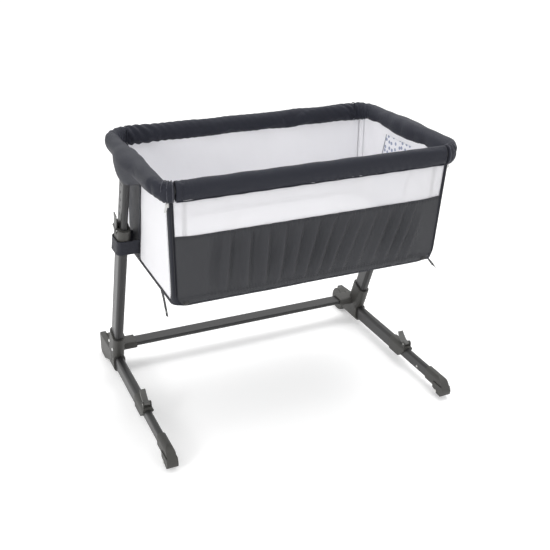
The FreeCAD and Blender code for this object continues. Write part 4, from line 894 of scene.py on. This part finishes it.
def laid_rows():
    """Node tree that lays short rods end to end along the edges of a mesh."""
    tree = bpy.data.node_groups.new("laid rows", "GeometryNodeTree")
    tree.interface.new_socket("Lines", in_out="INPUT", socket_type="NodeSocketGeometry")
    for label in ("Pitch", "Length", "Radius"):
        tree.interface.new_socket(label, in_out="INPUT", socket_type="NodeSocketFloat")
    tree.interface.new_socket("Thread", in_out="INPUT", socket_type="NodeSocketMaterial")
    tree.interface.new_socket("Rows", in_out="OUTPUT", socket_type="NodeSocketGeometry")
    taken = tree.nodes.new("NodeGroupInput").outputs
    given = tree.nodes.new("NodeGroupOutput")
    line = add_node(tree, "GeometryNodeMeshToCurve", {"Mesh": taken["Lines"]})
    spaced = add_node(tree, "GeometryNodeResampleCurve",
            {"Curve": line.outputs[0], "Length": taken["Pitch"]},
            mode="LENGTH")
    tangent = add_node(tree, "GeometryNodeInputTangent")
    turned = add_node(tree, "FunctionNodeAlignRotationToVector",
            {"Vector": tangent.outputs[0]}, axis="Z")
    stitch = add_node(tree, "GeometryNodeMeshCylinder",
            {"Vertices": 6, "Radius": taken["Radius"], "Depth": taken["Length"]})
    rows = add_node(tree, "GeometryNodeInstanceOnPoints",
            {"Points": spaced.outputs[0], "Instance": stitch.outputs[0], "Rotation": turned.outputs[0]})
    real = add_node(tree, "GeometryNodeRealizeInstances", {"Geometry": rows.outputs[0]})
    done = add_node(tree, "GeometryNodeSetMaterial",
            {"Geometry": real.outputs[0], "Material": taken["Thread"]})
    tree.links.new(done.outputs[0], given.inputs[0])
    return tree


rows_tree = laid_rows()


def laid(name, lines, pitch, length, radius, material):
    """Stitches or zip coil along lines of points, as one plain mesh."""
    points, edges = [], []
    for line in lines:
        edges += [(len(points) + n, len(points) + n + 1) for n in range(len(line) - 1)]
        points += [tuple(p) for p in line]
    mesh = bpy.data.meshes.new(name)
    mesh.from_pydata(points, edges, [])
    made = bpy.data.objects.new(name, mesh)
    scene.collection.objects.link(made)
    modifier = made.modifiers.new("rows", "NODES")
    modifier.node_group = rows_tree
    sizes = {"Pitch": pitch, "Length": length, "Radius": radius, "Thread": material}
    for item in rows_tree.interface.items_tree:
        if item.name in sizes:
            modifier[item.identifier] = sizes[item.name]
    return baked(made)


thread_dark = grained("stitch thread", (0.030, 0.031, 0.038, 1.0), 0.6, 2500.0, 0.00004)
coil_nylon = grained("zip coil", (0.016, 0.016, 0.019, 1.0), 0.4, 2500.0, 0.00004)


def skirt_line(z):
    """Seam along the skirt at a height, on its outer face."""
    ends = band_reach(z)
    x = np.linspace(ends[0] + 0.003, ends[1] - 0.003, 420)
    place = band_place(x, z)
    return list(zip(place[0], place[1] - 0.0009, place[2]))


seams = laid("skirt_stitches", [skirt_line(HEM_Z + 0.0035), skirt_line(BAND_TOP - 0.0068)],
        0.0034, 0.0025, THREAD_R, thread_dark)
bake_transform(seams)
zs = np.linspace(0.505, 0.788, 90)
lines = []
for sign in (-1.0, 1.0):
    for side in (-1.0, 1.0):
        long_y = [BASKET_Y + side * (wall_y(z) + 0.0006 + TAPE) for z in zs]
        lines.append([(sign * (wall_x(z) - TAPE_REACH + 0.0018), y, z) for z, y in zip(zs, long_y)])
        lines.append([(sign * (wall_x(z) + 0.0008 + TAPE),
                BASKET_Y + side * (wall_y(z) - 0.0150), z) for z in zs])
seams = laid("tape_stitches", lines, 0.0034, 0.0025, THREAD_R, thread_dark)
settle(seams, "dark_cloth", "basket")
lines = [[(sign * (wall_x(z) - 0.0062), BASKET_Y - (wall_y(z) + 0.0008 + TAPE), z)
        for z in zs] for sign in (-1.0, 1.0)]
coils = laid("zip_coils", lines, 0.0022, 0.0012, 0.0011, coil_nylon)
settle(coils, "dark_cloth", "basket")

# ---------------------------------------------------------------- bottom
# Dark cloth bag under the floor frame: it wraps up over the walls' lower edge,
# is gathered at its rounded corners and sags a little in the middle.
SAG = 0.022
bag_cloth = woven("bag cloth", shade(CHARCOAL, 0.75), 0.0014, spread=0.2)


def round_plan(half_x, half_y, r, count=176):
    """Plan points round a rounded rectangle, evenly numbered along each side."""
    points = []
    per_corner, per_side = count // 16, (count - 4 * (count // 16)) // 4
    for quarter, (cx, cy) in enumerate(((1, 1), (-1, 1), (-1, -1), (1, -1))):
        t = np.radians(90.0 * quarter + np.linspace(0, 90, per_corner + 1))
        points += [(cx * (half_x - r) + r * math.cos(a),
                cy * (half_y - r) + r * math.sin(a)) for a in t]
        ax, ay = points[-1]
        nxt = ((-1, 1), (-1, -1), (1, -1), (1, 1))[quarter]
        t2 = math.radians(90.0 * (quarter + 1))
        bx = nxt[0] * (half_x - r) + r * math.cos(t2)
        by = nxt[1] * (half_y - r) + r * math.sin(t2)
        share = np.linspace(0, 1, per_side)[1:-1]
        points += [(ax + (bx - ax) * s, ay + (by - ay) * s) for s in share]
    return np.array(points)


bag_rows = []
steps = [(0.4915, 0.0012, 0.026), (0.486, 0.0016, 0.026), (0.4805, 0.0008, 0.027), (0.4775, -0.003, 0.029),
        (0.4765, -0.008, 0.030)]
steps += [(0.4765 - SAG * math.sin(t) , -0.008 - 0.155 * (1 - math.cos(t)) ** 1.15, 0.032)
        for t in np.linspace(0.12, 1.2, 16)]
for z, grow, r in steps:
    outline = round_plan(float(wall_x(0.482)) + grow, float(wall_y(0.482)) + grow,
            r + max(0, -grow) * 0.2)
    depth = min(1.0, max(0.0, -grow) / 0.02)
    ripple = 0.0010 * depth * waves(outline[:, 0], outline[:, 1], 81, 0.10)
    bag_rows.append(np.column_stack([outline[:, 0], outline[:, 1] + BASKET_Y,
            np.full(len(outline), z) + ripple]))
bag_points = np.array(bag_rows)
lengths = np.concatenate([[0.0],
        np.cumsum(np.linalg.norm(np.diff(bag_points[0], axis=0), axis=1)), [2.6]])
bag_uv = np.stack([np.repeat(lengths[None], len(steps), 0),
        np.repeat(np.linspace(0, 0.2, len(steps))[:, None], len(lengths), 1)], axis=2)
bag = cloth_mesh("bottom_bag", bag_points, bag_uv, bag_cloth, wrap=True)
work = bmesh.new()
work.from_mesh(bag.data)
rim = [e for e in work.edges if e.is_boundary and e.verts[0].co.z < 0.47]
bmesh.ops.contextual_create(work, geom=rim)
bmesh.ops.recalc_face_normals(work, faces=work.faces)
work.to_mesh(bag.data)
work.free()
add_modifier(bag, "SOLIDIFY", thickness=0.0012, offset=0.0)
settle(bag, "dark_cloth", "basket", "bottom_cloth")

# ---------------------------------------------------------------- strips on the ends
# Outside, a dark strip behind each post takes the loop's pull.  Inside, a
# printed strip of white cloth with small scattered dots, edged in grey.
DOT_BLUE = (0.30, 0.34, 0.46, 1.0)
DOT_STEP = 0.0195
LINING_LOW = 0.509
LINING_TALL = 0.275
print_material, print_tree, print_shader = surface("dotted lining", Roughness=0.85,
        Sheen_Weight=0.15, Specular_IOR_Level=0.3)
place = add_node(print_tree, "ShaderNodeUVMap", uv_map="metres").outputs[0]
spots = add_node(print_tree, "ShaderNodeTexVoronoi",
        {"Vector": place, "Scale": 1.0 / DOT_STEP, "Randomness": 0.55}, voronoi_dimensions="2D")
soft_edge = calc(print_tree, "ADD", spots.outputs["Distance"],
        calc(print_tree, "MULTIPLY", noise(print_tree, place, 300.0), 0.06))
dot = add_node(print_tree, "ShaderNodeMapRange",
        {"Value": soft_edge, "From Min": 0.325, "From Max": 0.295})
mixed = add_node(print_tree, "ShaderNodeMix", data_type="RGBA")
mixed.inputs[6].default_value = (0.84, 0.84, 0.88, 1.0)
mixed.inputs[7].default_value = DOT_BLUE
print_tree.links.new(dot.outputs[0], mixed.inputs[0])
print_tree.links.new(mixed.outputs[2], print_shader.inputs["Base Color"])
threads = add_node(print_tree, "ShaderNodeGroup", node_tree=weave)
print_tree.links.new(place, threads.inputs["Vector"])
threads.inputs["Pitch"].default_value = 0.0008
bump(print_tree, print_shader, threads.outputs["Height"], 0.0002, 0.5)


def strip_on_end(sign, front, rear, low, high, out, material, name, seed):
    """Strip with slanting edges over an end wall, out from the wall's face."""
    def reach(z):
        share = (z - low) / (high - low)
        return (front[0] + (front[1] - front[0]) * share, rear[0] + (rear[1] - rear[0]) * share)

    def at(y, z):
        pucker = 0.0006 * waves(y, np.full_like(y, z), seed, 0.07)
        return sign * (wall_x(z) + out + pucker), y, np.full_like(y, z)

    return wall_sheet(name, (low, high), reach, at, material, 0.0009)


strips = [baked(strip_on_end(s, (0.021, -0.070), (0.116, 0.078), 0.486, 0.782, 0.0022, tape_cloth,
        "strip", 91)) for s in (-1.0, 1.0)]
strips = joined("end_strips_cloth", strips)
settle(strips, "dark_cloth", "basket", "end_strips")
linings = [baked(strip_on_end(s, (-0.069, -0.157), (0.088, 0.024), 0.509, 0.784, -0.0046,
        print_material, "strip", 93)) for s in (-1.0, 1.0)]
linings = joined("dotted_lining", linings)
settle(linings, "print", "basket", "lining_strips")
edge_cloth = woven("lining edge", (0.30, 0.31, 0.35, 1.0), 0.0011)
edges = []
for s in (-1.0, 1.0):
    for bottom, top in ((-0.069, -0.157), (0.088, 0.024)):
        share = np.linspace(0.0, 1.0, 40)
        line = [(s * (wall_x(LINING_LOW + LINING_TALL * t) - 0.0052),
                bottom + (top - bottom) * t, LINING_LOW + LINING_TALL * t)
                for t in share]
        edges.append(rod("edge", line, 0.0015, edge_cloth))
edges = joined("lining_piping", edges)
settle(edges, "print", "basket")

# ---------------------------------------------------------------- post loops
# Sleeve of dark cloth sewn to each end, round the lower post just below its
# collar; it steadies the basket.
LEAN = math.radians(20.75)
POST_X = 0.463


def post_loop(side, sign):
    """Open sleeve that follows the post's lean."""
    half_y, out, radius = 0.0370, 0.0225, 0.016
    zs = np.linspace(0.514, 0.564, 18)
    points, metres = [], []
    for z in zs:
        centre = BASKET_Y + math.tan(LEAN) * (RIM_Z - z)
        wide = half_y / math.cos(LEAN)
        back_x = wall_x(z) + 0.0010
        t = np.radians(np.linspace(-90, 0, 9))
        xs = np.concatenate([np.linspace(back_x, POST_X + out - radius, 8)[:-1],
                POST_X + out - radius + radius * np.cos(t)])
        ys = np.concatenate([np.full(7, -wide), -wide + radius + radius * np.sin(t)])
        xs = np.concatenate([xs, xs[::-1]])
        ys = np.concatenate([ys, -ys[::-1]])
        bulge = 0.0010 * waves(xs + ys, np.full_like(xs, z), 97, 0.05)
        run = np.concatenate([[0.0], np.cumsum(np.hypot(np.diff(xs), np.diff(ys)))])
        points.append(np.stack([sign * (xs + bulge * 0.5), ys + centre, np.full_like(xs, z)], axis=1))
        metres.append(np.stack([run, np.full_like(run, z)], axis=1))
    made = cloth_mesh(side + "_post_sleeve", np.array(points), np.array(metres), tape_cloth)
    if sign < 0:
        made.data.flip_normals()
    add_modifier(made, "SOLIDIFY", thickness=0.0016, offset=0.0)
    return made


for side, sign in (("left", -1.0), ("right", 1.0)):
    loop = post_loop(side, sign)
    settle(loop, "dark_cloth", "basket", side + "_post_loop")

# ---------------------------------------------------------------- webbing straps
# Two short ends of black webbing that hang from the bottom seam, each with a
# press stud; they tie the crib to the big bed.
WEBBING = 0.022
webbing_cloth = woven("webbing", (0.018, 0.018, 0.021, 1.0), 0.0022, spread=0.4, heather=600.0)
straps = []
for top, tip in (((-0.4172, -0.188, 0.484), (-0.412, -0.214, 0.412)),
        ((0.4024, -0.273, 0.481), (0.441, -0.268, 0.437))):
    top, tip = Vector(top), Vector(tip)
    run_way = (tip - top).normalized()
    face_way = run_way.cross(Vector((0, 1, 0))).normalized()
    across_way = face_way.cross(run_way).normalized()
    share = np.linspace(0.0, 1.0, 24)
    columns = np.linspace(-0.5, 0.5, 9)
    points = [[tuple(top + (tip - top) * t + across_way * (c * WEBBING) + face_way
            * (0.0008 + 0.0022 * math.sin(math.pi * t) * (1 - t) + 0.0004 * math.cos(c * 6.28)))
            for c in columns] for t in share]
    metres = [[(c * WEBBING, t * (tip - top).length) for c in columns] for t in share]
    strap = cloth_mesh("strap", np.array(points), np.array(metres), webbing_cloth)
    add_modifier(strap, "SOLIDIFY", thickness=0.0015, offset=0.0)
    straps.append(baked(strap))
straps = joined("webbing_straps", straps)
settle(straps, "dark_cloth", "basket", "straps")

# ---------------------------------------------------------------- mattress
# A thin foam pad in a white knitted cover, crowned and piped round its edge,
# loose on the folding board.
MATTRESS_LOW = 0.5062
MATTRESS_TALL = 0.046
knit_white = knitted("mattress knit", (0.85, 0.85, 0.87, 1.0), 0.0022, 0.93)[0]


def pillow(t):
    """Inset and rise of the pad's side at a share of the way round it."""
    return 0.010 * (1.0 - math.sin(t) ** 0.7), 0.5 - 0.5 * math.cos(t)


rows = []
profile = [(0.30, 0.0), (0.12, 0.0), (0.03, 0.0002)]
profile += [(pillow(t)[0], MATTRESS_TALL * pillow(t)[1] * 0.94) for t in np.linspace(0.35, 2.75, 12)]
profile += [(0.022, MATTRESS_TALL * 0.96), (0.05, MATTRESS_TALL * 0.985), (0.10, MATTRESS_TALL * 0.995),
        (0.15, MATTRESS_TALL), (0.195, MATTRESS_TALL)]
profile = [(min(inset, 0.195), z) for inset, z in profile]
for inset, z in profile:
    outline = round_plan(0.3995 - inset, 0.2155 - inset, max(0.048 - inset * 0.3, 0.006), 240)
    dimple = 0.0012 * min(1.0, inset / 0.03) * waves(outline[:, 0], outline[:, 1], 103, 0.13)
    heights = MATTRESS_LOW + z + dimple * (z > MATTRESS_TALL / 2)
    rows.append(np.column_stack([outline[:, 0], outline[:, 1] + BASKET_Y, heights]))
rows = np.array(rows)
lengths = np.linspace(0.0, 2.4, rows.shape[1] + 1)
pad_uv = np.stack([np.concatenate([rows[:, :, 0], rows[:, :1, 0]], axis=1),
        np.concatenate([rows[:, :, 1] + rows[:, :, 2],
                rows[:, :1, 1] + rows[:, :1, 2]], axis=1)], axis=2)
pad = cloth_mesh("mattress_pad", rows, pad_uv, knit_white, wrap=True, capped=True)
settle(pad, "mattress_cloth", "basket", "mattress")
